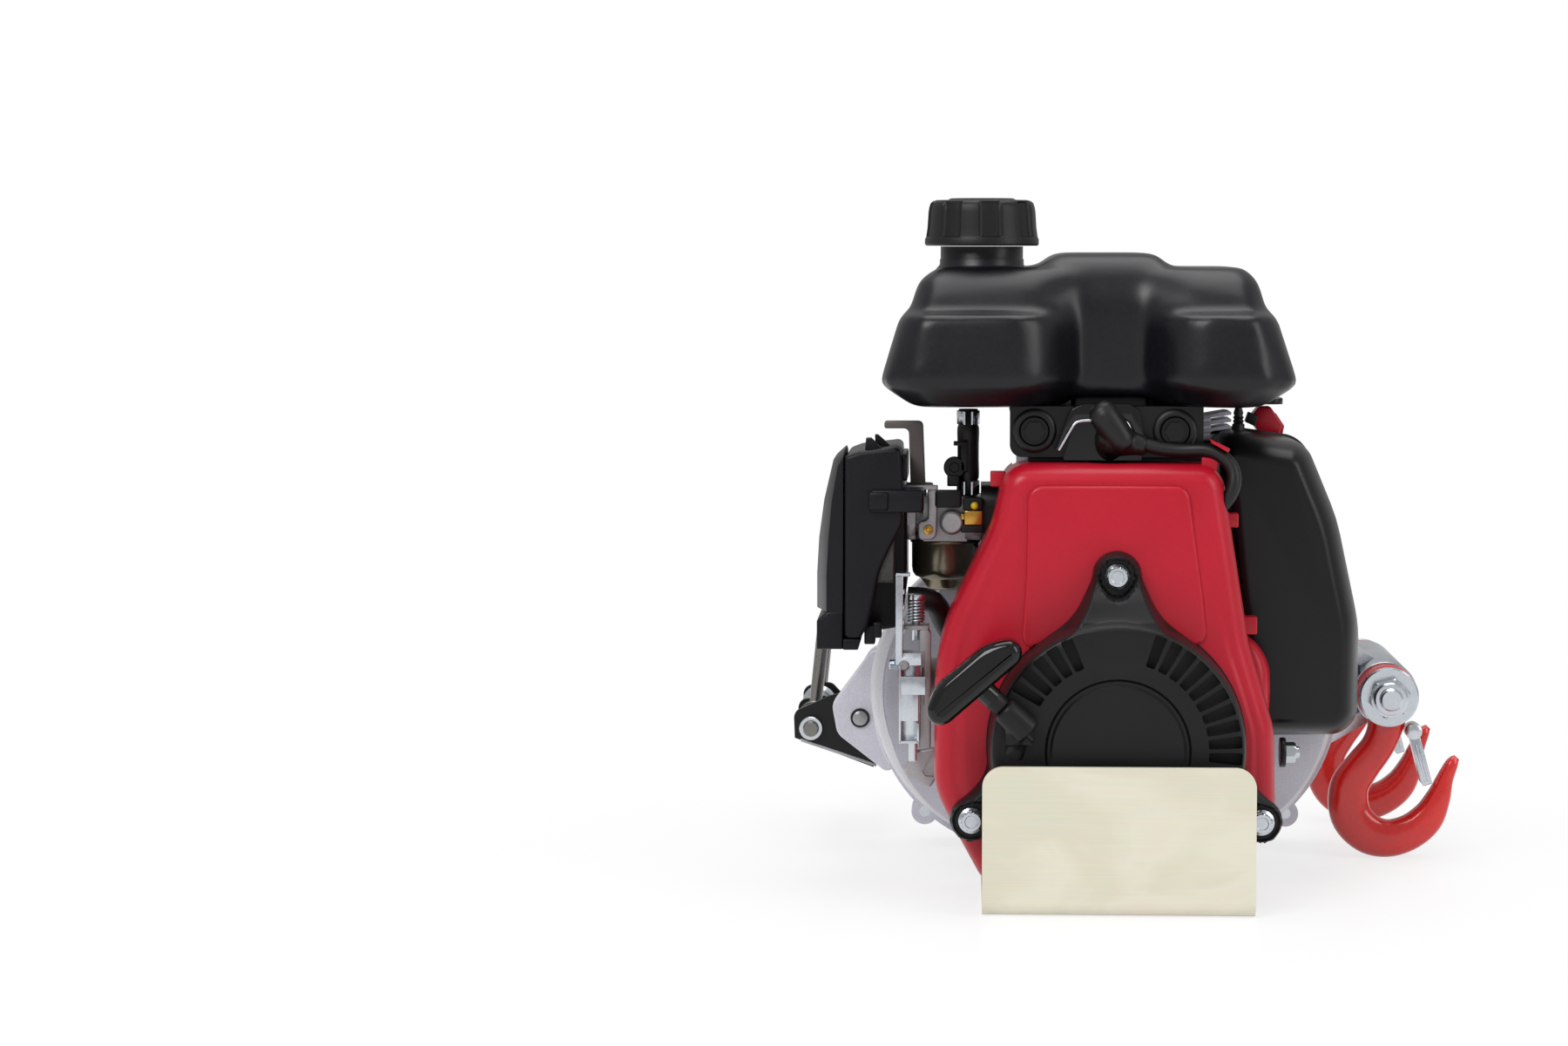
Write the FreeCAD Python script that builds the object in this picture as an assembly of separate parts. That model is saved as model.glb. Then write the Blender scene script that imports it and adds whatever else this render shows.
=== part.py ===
import FreeCAD, Part
import math
import os

vector = FreeCAD.Vector
along_x = vector(1, 0, 0)
along_y = vector(0, 1, 0)
along_z = vector(0, 0, 1)
full_turn = 360

# Frame: millimetres, +Z up, the starter side looks towards -Y, the drum side towards +Y.
# X = 0 is the crank and drum axis, Z = 0 the ground, Y = 0 the middle of the foot's flange.

# Shared sizes
crank_height = 77.0
overrun = 2.0
seat_gap = 0.3
running_gap = 0.05
point_tolerance = 0.0001
run_share = 0.45
hex_sides = 6

# Front foot, one bent plate
foot_front = -65.0
foot_width = 130.5
foot_clearance = 5.0
foot_height = crank_height - foot_clearance
foot_depth = 130.0
foot_thickness = 3.0
foot_corner = 10.0
foot_bend = 7.0

# Crankcase
engine_front = 22.0
engine_rear = 95.0
engine_width = 112.0
engine_rise = 55.0
engine_top = crank_height + engine_rise
engine_corner = 22.0
lug_thickness = 16.0
lug_radius = 7.0

# Cylinder block with its cooling fins
block_width = 70.0
block_front = 30.0
block_rear = 88.0
block_rise = 137.0
block_top = crank_height + block_rise
fin_reach = 8.0
fin_thickness = 2.4
fin_pitch = 8.0
fin_count = 8
ear_rise = 15.0
ear_height = block_top + ear_rise
ear_radius = 8.5
ear_depth = 12.0

# Crankshaft
journal_radius = 12.5
nose_radius = 8.0
tail_radius = 8.5
crank_nose = -22.0
crank_tail = 108.0

# Flywheel with fan blades
fan_ground_gap = 17.0
fan_radius = crank_height - fan_ground_gap
fan_front = -10.0
fan_rear = 14.0
fan_disc = 5.0
fan_hub_radius = 18.0
fan_blade_root = 36.0
fan_blade_thickness = 3.0
fan_blade_count = 14
fan_blade_lean = 24

# Fan shroud
shroud_front = -17.0
shroud_shoulder = 8.0
shroud_rear = 46.0
shroud_half_width = 91.0
shroud_ground_gap = 2.0
shroud_bottom = foot_thickness + shroud_ground_gap
shroud_clearance = 1.0
shroud_top = block_top - shroud_clearance
shroud_wall = 2.5
shroud_inset = 13.0
shroud_mouth_lip = 1.0
shroud_mouth_radius = fan_radius - shroud_mouth_lip
shroud_outline_shares = [(-0.63, 1.0), (-0.76, 0.72), (-1.0, 0.38), (-0.84, 0.0),
                         (0.84, 0.0), (0.93, 0.36), (0.72, 0.72), (0.57, 1.0)]
shroud_rounding_shares = [0.13, 0.6, 0.8, 0.3, 0.3, 0.8, 0.6, 0.13]
post_radius = 7.0

# Recoil cover
cover_front = -47.0
cover_ground_gap = 10.0
cover_taper = 4.0
cover_rear_radius = crank_height - cover_ground_gap
cover_front_radius = cover_rear_radius - cover_taper
cover_rounding = 6.0
cover_wall = 2.5
hub_margin = 9.0
slot_margin = 4.0
slot_length = 15.0
hub_raise = 2.0
slot_outer = cover_front_radius - slot_margin
slot_inner = slot_outer - slot_length
hub_radius = slot_inner - hub_margin
slot_width = 4.2
slot_step_angle = 9.6
right_slots = 9
left_slots = 5
right_slot_start = -5
left_slot_start = 112
ear_thickness = 8.0
top_ear_reach = 83.0
low_ear_x = 70.4
low_ear_drop = 36.6
cover_ear_radius = 9.3
ear_root_width = 40.0
ear_root_share = 0.8
bolt_radius = 3.0
bolt_flange_radius = 6.6
bolt_flange_height = 1.6
bolt_hex_radius = 5.2
bolt_head_height = 5.0
bolt_grip = 14.0

# Recoil pulley
pulley_radius = 33.0
pulley_groove = 27.0
pulley_front = -42.0
pulley_rear = -32.0
pulley_rim = 2.0
post_of_pulley = 7.0

# Starter handle and its cord
handle_y = -54.0
guide_x = -49.0
guide_rise = 16.0
pull_angle = 43
guide_radius = 7.5
guide_length = 17.0
cord_radius = 2.0
handle_length = 54.0
handle_height = 14.0
handle_depth = 20.0
handle_rounding = 6.0
stem_length = 14.0
stem_radius = 5.5
stem_tip_radius = 4.2
handle_gap = 0.5

# Fuel tank
tank_left = -115.0
tank_right = 88.0
tank_front = -15.0
tank_rear = 135.0
tank_clearance = 12.0
tank_bottom = ear_height + tank_clearance
tank_height = 67.0
tank_top = tank_bottom + tank_height
tank_wall = 2.5
tank_corner = 38.0
tank_level_shares = [0.0, 0.17, 0.66, 0.9, 1.0]
tank_inset_shares = [0.34, 0.0, 0.2, 0.52, 0.95]
tank_inset = 26.0
valley_width = 50.0
valley_floor_width = 36.0
valley_depth = 28.0
valley_x = -2.0
hump_width = 56.0
hump_top_width = 34.0
hump_rise = 7.0
hump_length = 104.0
neck_x = -66.0
neck_y = 48.0
neck_radius = 21.0
neck_bore = 17.0
neck_rise = 11.0
outlet_radius = 3.2
outlet_drop = 9.0

# Fuel cap
cap_radius = 28.0
cap_height = 23.0
cap_skirt_radius = 25.0
cap_skirt_height = 5.0
cap_rounding = 3.0
cap_centre_radius = 17.0
cap_centre_rise = 1.5
cap_flute_radius = 2.2
cap_flute_count = 24
cap_plug_depth = 8.0

# Tank bracket, grommets, bolts and heat shield
bracket_thickness = 3.0
bracket_front = 9.0
bracket_rear = 137.0
bracket_left = -52.0
bracket_right = 43.0
bracket_drop = 13.0
bracket_low = ear_height - bracket_drop
bracket_corner = 6.0
bracket_tongue_length = 17.0
bracket_tongue_width = 40.0
bracket_arm_width = 26.0
bracket_arm_depth = 90.0
grommet_x = 34.5
grommet_middle_x = -5.5
grommet_radius = 11.0
grommet_neck = 8.0
grommet_length = 9.0
grommet_bore = 4.0
shield_left = -29.0
shield_right = 15.0
shield_drop = 9.0
shield_low = ear_height - shield_drop
shield_shoulder_left = -20.0
shield_shoulder_right = 9.0
shield_clearance = 0.5
shield_top = tank_bottom - shield_clearance
shield_thickness = 1.5
shield_depth = 11.0

# Ignition: plug, cap, lead and coil
plug_x = -3.0
plug_seat_y = 30.0
plug_seat_drop = 7.0
plug_seat_z = block_top - plug_seat_drop
plug_tilt = 38
plug_hex_radius = 8.5
plug_hex_height = 9.0
plug_insulator_radius = 4.8
plug_length = 30.0
plug_thread_radius = 5.0
plug_thread_length = 12.0
boot_radius = 8.0
boot_length = 24.0
boot_start = 12.0
boot_arm_radius = 6.0
boot_arm_length = 9.6
lead_radius = 3.5
lead_room = 1.5
lead_route = [(8.0, 3.3, 11.2), (16.0, 2.0, 7.5), (31.0, 1.0, 5.5), (46.0, -2.0, 7.0),
              (57.0, -5.0, -1.0), (57.5, -8.0, -12.0), (51.0, -6.0, -22.0), (43.0, 5.0, -27.0),
              (34.0, 19.0, -32.0), (34.0, 19.0, -43.0)]
lead_points = [(x, y, block_top + rise) for x, y, rise in lead_route]
coil_width = 34.0
coil_height = 22.0
coil_x = 34.0
coil_drop = 65.0
coil_low = block_top - coil_drop
coil_front = 8.0
coil_corner = 4.0

# Carburettor, float bowl, insulator and choke lever
carb_y = 70.0
carb_drop = 31.5
carb_height = block_top - carb_drop
cleaner_side_gap = 12.0
cleaner_right = -shroud_half_width - cleaner_side_gap
carb_left = cleaner_right
carb_right = -66.0
carb_throat_radius = 10.0
carb_flange_width = 44.0
carb_flange_height = 22.0
carb_flange_thickness = 8.0
carb_flange_corner = 8.0
carb_bore = 8.0
carb_block_width = 22.0
carb_block_depth = 34.0
bowl_offset_x = 19.0
bowl_x = carb_left + bowl_offset_x
bowl_radius = 16.5
bowl_drop = 11.5
bowl_top = carb_height - bowl_drop
bowl_height = 17.0
bowl_rounding = 4.0
sump_radius = 6.5
sump_depth = 9.0
insulator_width = 46.0
insulator_height = 34.0
insulator_corner = 10.0
inlet_radius = 3.2
inlet_x = -72.5
inlet_y = 58.0
inlet_rise = 8.0
choke_offset_x = 7.0
choke_x = carb_left + choke_offset_x
choke_stem_radius = 3.0
choke_rise = 48.5
choke_stem_top = carb_height + choke_rise
choke_plate_thickness = 3.0
choke_arm_length = 19.0
choke_arm_width = 9.0
choke_hub_radius = 6.0

# Hoses and clamps
fuel_hose_radius = 5.0
fuel_hose_gap = 0.1
clamp_width = 7.0
clamp_thickness = 0.8
clamp_ear = 5.0
clamp_end_gap = 3.0
breather_radius = 5.7
breather_run_shares = [0.9894, 0.8191, 0.6809, 0.617, 0.4468, 0.2128, -0.0]
breather_bends = [(44.0, -39.5), (44.0, -39.5), (46.5, -42.5), (55.0, -51.5),
                  (64.0, -65.5), (66.0, -78.5), (66.0, -78.5)]

# Air cleaner
cleaner_cover_width = 25.0
cleaner_case_width = 21.0
cleaner_split = cleaner_right - cleaner_case_width
cleaner_left = cleaner_split - cleaner_cover_width
cleaner_front = 20.0
cleaner_rear = 112.0
cleaner_drop = 66.5
cleaner_bottom = carb_height - cleaner_drop
cleaner_rise = 35.5
cleaner_top = carb_height + cleaner_rise
cleaner_corner = 14.0
cleaner_wall = 2.2
cleaner_lean = 9.0
cleaner_shoulder_drop = 32.5
cleaner_shoulder = carb_height - cleaner_shoulder_drop
cleaner_foot_width = 14.0
cleaner_foot = cleaner_right - cleaner_foot_width
foot_tab_height = 15.0
foot_tab_reach = 4.0
clip_width = 12.0
clip_height = 3.0
filter_gap = 0.4
filter_depth = 15.0
knuckle_radius = 3.0
knuckle_width = 10.0
knuckle_gap = 0.3
knuckle_y = 40.0
knuckle_spread = 44.0
filter_drop = 30.5
filter_low = carb_height - filter_drop

# Throttle control
control_y = 14.0
control_thickness = 2.0
pivot_side_gap = 13.0
pivot_x = -shroud_half_width - pivot_side_gap
control_left_width = 4.0
control_right_width = 10.5
control_left = pivot_x - control_left_width
control_right = pivot_x + control_right_width
control_low_rise = 7.0
control_low = crank_height + control_low_rise
control_top_rise = 55.0
control_top = crank_height + control_top_rise
control_corner = 3.0
control_back = 55.0
control_foot_low_rise = 15.0
control_foot_low = crank_height + control_foot_low_rise
control_foot_high_rise = 35.0
control_foot_high = crank_height + control_foot_high_rise
pivot_rise = 36.0
pivot_height = crank_height + pivot_rise
pivot_radius = 3.0
pivot_reach = 12.0
pivot_nut_radius = 4.6
pivot_nut_height = 4.0
lever_thickness = 2.0
lever_gap = 0.3
lever_hub = 7.0
lever_arm_width = 7.0
lever_arm_length = 44.0
lever_arm_lean = 0
lever_foot_length = 54.0
lever_foot_lean = 3
lever_knob_radius = 6.5
lever_knob_thickness = 8.0
screw_offset_x = 6.0
screw_x = pivot_x + screw_offset_x
screw_y = 21.0
screw_reach = 6.0
tab_left = pivot_x
tab_rear = 27.0
screw_radius = 2.0
screw_head_radius = 4.2
screw_head_height = 2.6
tab_thickness = 2.0
spring_radius = 3.4
spring_wire = 0.45
spring_turns = 7
spring_pitch = 1.55
spring_arcs = 4
spring_probes = 24

# Muffler and its cover
muffler_gap = 4.0
muffler_front = 56.0
muffler_port_end = 79.0
muffler_rear = 106.0
muffler_port_radius = 13.0
muffler_port_drop = 34.0
muffler_port_height = block_top - muffler_port_drop
muffler_spacer_radius = 6.0
guard_front = 48.0
guard_rear = 113.0
guard_wall = 1.6
guard_left = 47.0
guard_right = 126.0
guard_drop = 143.0
guard_low = block_top - guard_drop
guard_rise = 14.0
guard_top = block_top + guard_rise
guard_outline_shares = [(0.0, 1.0), (0.5, 0.99), (0.66, 0.93), (0.9, 0.64), (1.0, 0.41), (0.97, 0.05),
                        (0.6, 0.0), (0.44, 0.0), (0.41, 0.24), (0.2, 0.8)]
guard_rounding = 6.0
guard_spacer_x = 95.5
guard_spacer_rise = 9.0
guard_spacer_height = guard_low + guard_spacer_rise

# Bolt on the shroud's right side
side_bolt_share = 0.9204
side_bolt_x = shroud_half_width * side_bolt_share
side_bolt_y = 38.0
side_bolt_drop = 10.3
side_bolt_height = crank_height - side_bolt_drop
side_washer_radius = 7.5
side_washer_thickness = 3.0
side_tip_length = 2.0

# Stop switch
switch_x = 79.0
switch_y = 128.0
switch_width = 15.0
switch_depth = 17.0
switch_height = 14.0
switch_corner = 2.0
rocker_radius = 5.0
rocker_width = 9.0
rocker_slot_gap = 0.4

# Gear housing and gear case, two cast halves with stadium flanges
shell_rise = 5.0
shell_height = crank_height + shell_rise
shell_half_length = 40.0
shell_radius = 75.0
shell_wall = 5.0
flange_radius = 82.0
flange_thickness = 8.0
clutch_house_radius = 54.0
clutch_cave_radius = 46.0
plate_front = 116.0
web_rear = 130.0
split_y = 149.0
wall_front = 186.0
case_rear = 196.0
snout_rear = 213.0
snout_radius = 32.0
rib_thickness = 6.0
rib_angles = [0, 60, 120, 180]
ear_lobe_x = -143.0
ear_lobe_drop = 8.0
ear_lobe_height = shell_height - ear_lobe_drop
ear_lobe_rise = 43.0
ear_lobe_root = -90.0
ear_lobe_rounding = 9.0
ear_lobe_shares = [(-0.09, 1.19), (0.64, 0.74), (1.0, 0.0), (0.28, -0.93), (-0.19, -0.67)]
ear_lobe_thickness = 10.0
flange_bolt_circle_radius = 82.0
flange_boss_radius = 7.0
flange_bolt_angles = [110, 145, 228]

# Gear train: input pinion, two countershafts, final gear
train_angle = 165
gear_angle = 20
tooth_rise_share = 0.8
tooth_root_share = 1.02
tooth_backlash = 0.16
flank_steps = 2
first_module = 0.8
first_pinion_teeth = 17
first_gear_teeth = 98
second_module = 1.0
second_pinion_teeth = 17
second_gear_teeth = 75
final_module = 1.25
final_pinion_teeth = 15
final_gear_teeth = 59
first_mesh_front = 134.0
first_mesh_width = 8.0
second_mesh_front = 146.0
second_mesh_width = 12.0
final_mesh_front = 163.0
final_mesh_width = 18.0
gear_web_share = 0.5
gear_rim_share = 0.86
gear_hub_radius = 13.0

# Shafts, bearings and seal
input_shaft_radius = 6.0
input_neck_radius = 5.2
input_bearing_radius = 16.0
input_bearing_width = 12.0
side_shaft_radius = 5.0
side_bearing_radius = 13.0
side_bearing_width = 8.0
drum_shaft_radius = 15.0
drum_shaft_front = 160.0
drum_bearing_radius = 23.5
drum_bearing_width = 9.0
drum_bearing_count = 2
seal_radius = 21.0
seal_width = 5.0
fit_gap = 0.02

# Centrifugal clutch
bell_front = 98.0
bell_rear = 114.0
bell_radius = 40.0
bell_wall = 3.0
hub_front = 98.5
hub_arm_radius = 19.0
hub_waist = 22.0
shoe_outer = 36.0
shoe_split = 5.0
shoe_front = 99.5
shoe_rear = 107.5

# Capstan drum and its bolt
drum_front = 215.0
drum_rear = 275.0
drum_flange_radius = 43.0
drum_flange_width = 5.0
drum_waist_radius = 28.5
drum_waist_share = 0.5
drum_lip_radius = 36.0
drum_lip_width = 4.0
drum_seat_end = 262.0
drum_recess_radius = 20.0
drum_bolt_radius = 5.0
drum_bolt_length = 26.0
drum_bolt_head_radius = 9.0
drum_bolt_head_height = 6.5
drum_washer_radius = 17.0
drum_washer_thickness = 3.0

# Rope guide, roller, roller bolt, pin and keeper rod
guide_plate = 4.0
guide_rear = 284.0
guide_mid_front = 213.0
guide_left = -165.0
guide_right = -117.0
guide_drop = 40.5
guide_low = shell_height - guide_drop
guide_rise_height = 4.0
guide_high = shell_height + guide_rise_height
guide_outline_shares = [(0.0104, 0.3596), (0.8854, 0.0112), (1.0, 0.3708), (0.875, 1.0),
                        (0.3958, 0.8652), (0.0, 0.6742)]
guide_cheek_shares = [(0.0104, 0.3596), (0.6042, 0.1236), (0.6042, 0.4157), (0.3333, 0.7303),
                      (0.0, 0.6742)]
tray_start_share = 0.58
guide_rounding = 5.0
tray_thickness = 3.0
roller_x = -155.7
roller_drop = 19.0
roller_height = shell_height - roller_drop
roller_radius = 9.5
roller_waist = 7.5
roller_bore_gap = 0.1
roller_end_gap = 0.4
roller_bolt_radius = 5.0
roller_hex_radius = 8.2
roller_hex_height = 6.0
pin_x = -129.3
pin_drop = 12.3
pin_height = shell_height - pin_drop
pin_radius = 5.0
pin_head_radius = 7.0
pin_head_height = 3.0
rod_radius = 3.5
rod_foot_x = -155.2
rod_top_x = -150.5
rod_rise = 34.0
rod_top = shell_height + rod_rise
rod_eye_radius = 9.0
rod_eye_depth = 8.5
rod_eye_seat = 7.0
rod_low = roller_height + rod_eye_seat

# Anchor bracket, bolt and hooks
anchor_x = 147.0
anchor_rise = 3.0
anchor_height = shell_height + anchor_rise
sleeve_radius = 14.0
sleeve_front = 142.0
sleeve_rear = 256.0
strut_thickness = 8.0
strut_front = 163.0
strut_rear = 195.0
strut_top_x = 96.0
strut_rise = 46.0
strut_top_height = shell_height + strut_rise
strut_low_x = 100.0
strut_drop = 38.0
strut_low_height = shell_height - strut_drop
brace_height = 10.0
brace_rear = 246.0
brace_root = 124.0
anchor_bolt_radius = 6.0
anchor_washer_radius = 15.5
anchor_washer_thickness = 2.0
anchor_nut_radius = 10.4
anchor_nut_height = 11.0
anchor_head_height = 7.5
anchor_bolt_tip = 4.0
hook_thickness = 14.0
hook_eye_radius = 17.0
hook_bowl_x = 151.0
hook_drop = 49.0
hook_bowl_height = anchor_height - hook_drop
hook_outer = 34.0
hook_inner = 17.0
hook_inner_rise = 3.0
hook_tip_angle = 28
hook_throat_angle = 140
hook_back_angle = 165
hook_eye_angles = [190, -35]
hook_rounding = 4.5
latch_pivot_x = 160.5
latch_drop = 18.5
latch_pivot_height = anchor_height - latch_drop
latch_lug_radius = 5.0
latch_lug_thickness = 6.0
latch_pin_radius = 2.2
latch_pin_length = 12.0
latch_cheek = 1.8
latch_cheek_gap = 0.3
latch_length = 27.0
latch_lean = 2
latch_hub_radius = 4.6
latch_web_start = 8.0
latch_width = 8.0


def cylinder(start, axis, length, radius):
    return Part.makeCylinder(radius, length, start, axis)


def cylinder_y(x, z, front, rear, radius):
    return Part.makeCylinder(radius, rear - front, vector(x, front, z), along_y)


def ring_y(x, z, front, rear, outer, inner):
    bore = cylinder_y(x, z, front - overrun, rear + overrun, inner)
    return cylinder_y(x, z, front, rear, outer).cut(bore)


def box(x0, x1, y0, y1, z0, z1):
    return Part.makeBox(x1 - x0, y1 - y0, z1 - z0, vector(x0, y0, z0))


def rounded_wire(corners, radii):
    # Closed outline through the corners, each one rounded by a tangent arc.
    bends = []
    for i, corner in enumerate(corners):
        before = (corners[i - 1] - corner).normalize()
        after = (corners[(i + 1) % len(corners)] - corner).normalize()
        half = before.getAngle(after) / 2
        reach = radii[i] / math.tan(half)
        bulge = radii[i] / math.sin(half) - radii[i]
        middle = corner + (before + after).normalize() * bulge
        bends.append((corner + before * reach, middle, corner + after * reach))
    edges = []
    for i, (start, middle, end) in enumerate(bends):
        if radii[i] > 0:
            edges.append(Part.Arc(start, middle, end).toShape())
        follow = bends[(i + 1) % len(bends)][0]
        if end.distanceToPoint(follow) > point_tolerance:
            edges.append(Part.LineSegment(end, follow).toShape())
    return Part.Wire(edges)


def radii_for(points, radius):
    return radius if isinstance(radius, list) else [radius] * len(points)


def wire_x(points, x, radius=0):
    return rounded_wire([vector(x, y, z) for y, z in points], radii_for(points, radius))


def wire_y(points, y, radius=0):
    return rounded_wire([vector(x, y, z) for x, z in points], radii_for(points, radius))


def wire_z(points, z, radius=0):
    return rounded_wire([vector(x, y, z) for x, y in points], radii_for(points, radius))


def plate_x(points, x0, x1, radius=0):
    return Part.Face(wire_x(points, x0, radius)).extrude(along_x * (x1 - x0))


def plate_y(points, y0, y1, radius=0):
    return Part.Face(wire_y(points, y0, radius)).extrude(along_y * (y1 - y0))


def plate_z(points, z0, z1, radius=0):
    return Part.Face(wire_z(points, z0, radius)).extrude(along_z * (z1 - z0))


def rectangle(a0, a1, b0, b1):
    return [(a0, b0), (a1, b0), (a1, b1), (a0, b1)]


def hexagon(a, b, radius):
    turns = [math.radians(full_turn * i / hex_sides) for i in range(hex_sides)]
    return [(a + radius * math.cos(t), b + radius * math.sin(t)) for t in turns]


def turned_y(profile, x, z, radius=0):
    # Solid of revolution about an axis along Y; the profile is (radius, y) pairs.
    corners = [vector(x + r, y, z) for r, y in profile]
    face = Part.Face(rounded_wire(corners, radii_for(profile, radius)))
    return face.revolve(vector(x, 0, z), along_y, full_turn)


def turned_z(profile, x, y, radius=0):
    corners = [vector(x + r, y, z) for r, z in profile]
    face = Part.Face(rounded_wire(corners, radii_for(profile, radius)))
    return face.revolve(vector(x, y, 0), along_z, full_turn)


def polar(x, z, radius, degrees):
    turn = math.radians(degrees)
    return x + radius * math.cos(turn), z + radius * math.sin(turn)


def spread(shares, x_middle, x_size, z_base, z_size):
    return [(x_middle + a * x_size, z_base + b * z_size) for a, b in shares]


def fuse(shapes):
    return shapes[0].multiFuse(shapes[1:]).removeSplitter()


def lead_path(route, name):
    # Straight runs joined by the largest tangent arcs that the runs allow.
    points = [vector(*place) for place in route]
    edges, start, radii = [], points[0], []
    for before, corner, after in zip(points, points[1:], points[2:]):
        back = before - corner
        ahead = after - corner
        reach = run_share * min(back.Length, ahead.Length)
        half = back.getAngle(ahead) / 2
        radius = reach * math.tan(half)
        first = corner + back.normalize() * reach
        last = corner + ahead.normalize() * reach
        inward = (first + last) / 2 - corner
        bulge = radius / math.sin(half) - radius
        edges.append(Part.LineSegment(start, first).toShape())
        edges.append(Part.Arc(first, corner + inward.normalize() * bulge, last).toShape())
        radii.append(round(radius, 1))
        start = last
    edges.append(Part.LineSegment(start, points[-1]).toShape())
    print(name, "arc radii", radii)
    return Part.Wire(edges)


def tube(route, radius, name):
    path = lead_path(route, name)
    start = vector(*route[0])
    section = Part.Wire(Part.makeCircle(radius, start, vector(*route[1]) - start))
    solid = path.makePipeShell([section], True, False)
    print(name, "volume share of section times length",
          round(solid.Volume / (math.pi * radius ** 2 * path.Length), 4))
    return solid


def save(name, shapes):
    # One file for each node; a group of equal pieces is saved as separate solids.
    shape = Part.makeCompound(shapes) if isinstance(shapes, list) else shapes
    for solid in shape.Solids:
        assert solid.isValid(), name
    shape.exportStep("parts/" + name + ".step")
    print(name, len(shape.Solids), round(shape.Volume))


def front_foot():
    front = foot_front
    rear = foot_front + foot_depth
    half = foot_width / 2
    profile = [(front, 0), (rear, 0), (rear, foot_thickness), (front + foot_thickness, foot_thickness),
               (front + foot_thickness, foot_height), (front, foot_height)]
    bends = [foot_bend, 0, 0, foot_bend - foot_thickness, 0, 0]
    plate = plate_x(profile, -half, half, bends)
    corners = []
    for edge in plate.Edges:
        middle = edge.CenterOfMass
        on_side = abs(abs(middle.x) - half) < point_tolerance
        at_top = abs(middle.z - foot_height) < point_tolerance
        at_rear = abs(middle.y - rear) < point_tolerance
        if on_side and (at_top or at_rear):
            corners.append(edge)
    return plate.makeFillet(foot_corner, corners)


def recoil_bolt_places():
    low = crank_height - low_ear_drop
    return [(0, crank_height + top_ear_reach), (-low_ear_x, low), (low_ear_x, low)]


def crankcase():
    half = engine_width / 2
    body = plate_y(rectangle(-half, half, foot_thickness, engine_top), engine_front, engine_rear,
                   engine_corner)
    pieces = [body]
    for x, z in recoil_bolt_places()[1:]:
        side = math.copysign(1, x)
        inner = side * (half - lug_thickness)
        web = rectangle(min(inner, x), max(inner, x), z - lug_radius, z + lug_radius)
        pieces.append(plate_y(web, engine_front, engine_front + lug_thickness))
        pieces.append(cylinder_y(x, z, engine_front, engine_front + lug_thickness, lug_radius))
    body = fuse(pieces)
    bore = cylinder_y(0, crank_height, engine_front - overrun, engine_rear + overrun,
                      journal_radius + running_gap)
    return body.cut(bore)


def cylinder_block():
    half = block_width / 2
    core = box(-half, half, block_front, block_rear, engine_top, block_top)
    pad_half = insulator_width / 2
    rise = insulator_height / 2
    pads = box(-half - fin_reach, half + fin_reach, carb_y - pad_half, carb_y + pad_half,
               carb_height - rise, carb_height + rise)
    pieces = [core, pads]
    for i in range(fin_count):
        low = engine_top + fin_pitch * (i + 1)
        fin = rectangle(-half - fin_reach, half + fin_reach, block_front, block_rear + fin_reach)
        pieces.append(plate_z(fin, low, low + fin_thickness, fin_reach))
    for side in (-1, 1):
        x = grommet_middle_x + side * grommet_x
        foot = block_top - fin_pitch
        arm = box(x - ear_radius, x + ear_radius, block_front, block_front + ear_depth, foot,
                  ear_height)
        pieces.append(arm)
        pieces.append(cylinder_y(x, ear_height, grommet_rear(), block_front + ear_depth, ear_radius))
    plug_axis, plug_foot = plug_line()
    pieces.append(cylinder(plug_foot - plug_axis * (plug_thread_length + overrun), plug_axis,
                           plug_thread_length + overrun, plug_hex_radius + shroud_wall))
    block = fuse(pieces)
    thread = cylinder(plug_foot - plug_axis * plug_thread_length, plug_axis,
                      plug_thread_length + overrun,
                      plug_thread_radius + fit_gap)
    thread = thread.fuse(cylinder(plug_foot, plug_axis, plug_length, plug_hex_radius + seat_gap))
    for side in (-1, 1):
        x = grommet_middle_x + side * grommet_x
        thread = thread.fuse(cylinder_y(x, ear_height, grommet_rear() - overrun,
                                        block_front + ear_depth + overrun,
                                        grommet_bore + fit_gap))
    return block.cut(thread)


def plug_line():
    turn = math.radians(plug_tilt)
    return vector(0, -math.cos(turn), math.sin(turn)), vector(plug_x, plug_seat_y, plug_seat_z)


def crankshaft():
    profile = [(0, crank_nose), (nose_radius, crank_nose), (nose_radius, engine_front - overrun),
               (journal_radius, engine_front - overrun), (journal_radius, engine_rear),
               (tail_radius, engine_rear), (tail_radius, crank_tail), (0, crank_tail)]
    return turned_y(profile, 0, crank_height)


def flywheel_fan():
    profile = [(nose_radius + fit_gap, fan_front), (fan_hub_radius, fan_front),
               (fan_blade_root, fan_rear - fan_disc * 2), (fan_radius, fan_rear - fan_disc),
               (fan_radius, fan_rear), (nose_radius + fit_gap, fan_rear)]
    wheel = turned_y(profile, 0, crank_height)
    blade = box(fan_blade_root, fan_radius - fan_blade_thickness, fan_front, fan_rear - fan_disc,
                crank_height - fan_blade_thickness / 2, crank_height + fan_blade_thickness / 2)
    blade.rotate(vector(fan_radius, 0, crank_height), along_y, fan_blade_lean)
    blades = []
    for i in range(fan_blade_count):
        turned = blade.copy()
        turned.rotate(vector(0, 0, crank_height), along_y, full_turn * i / fan_blade_count)
        blades.append(turned)
    return fuse([wheel] + blades)


def shroud_points(inset):
    middle = (shroud_bottom + shroud_top) / 2
    points = spread(shroud_outline_shares, 0, shroud_half_width, shroud_bottom,
                    shroud_top - shroud_bottom)
    height = shroud_top - shroud_bottom
    narrow = 1 - inset / shroud_half_width
    low = 1 - 2 * inset / height
    return [(x * narrow, middle + (z - middle) * low) for x, z in points]


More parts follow.
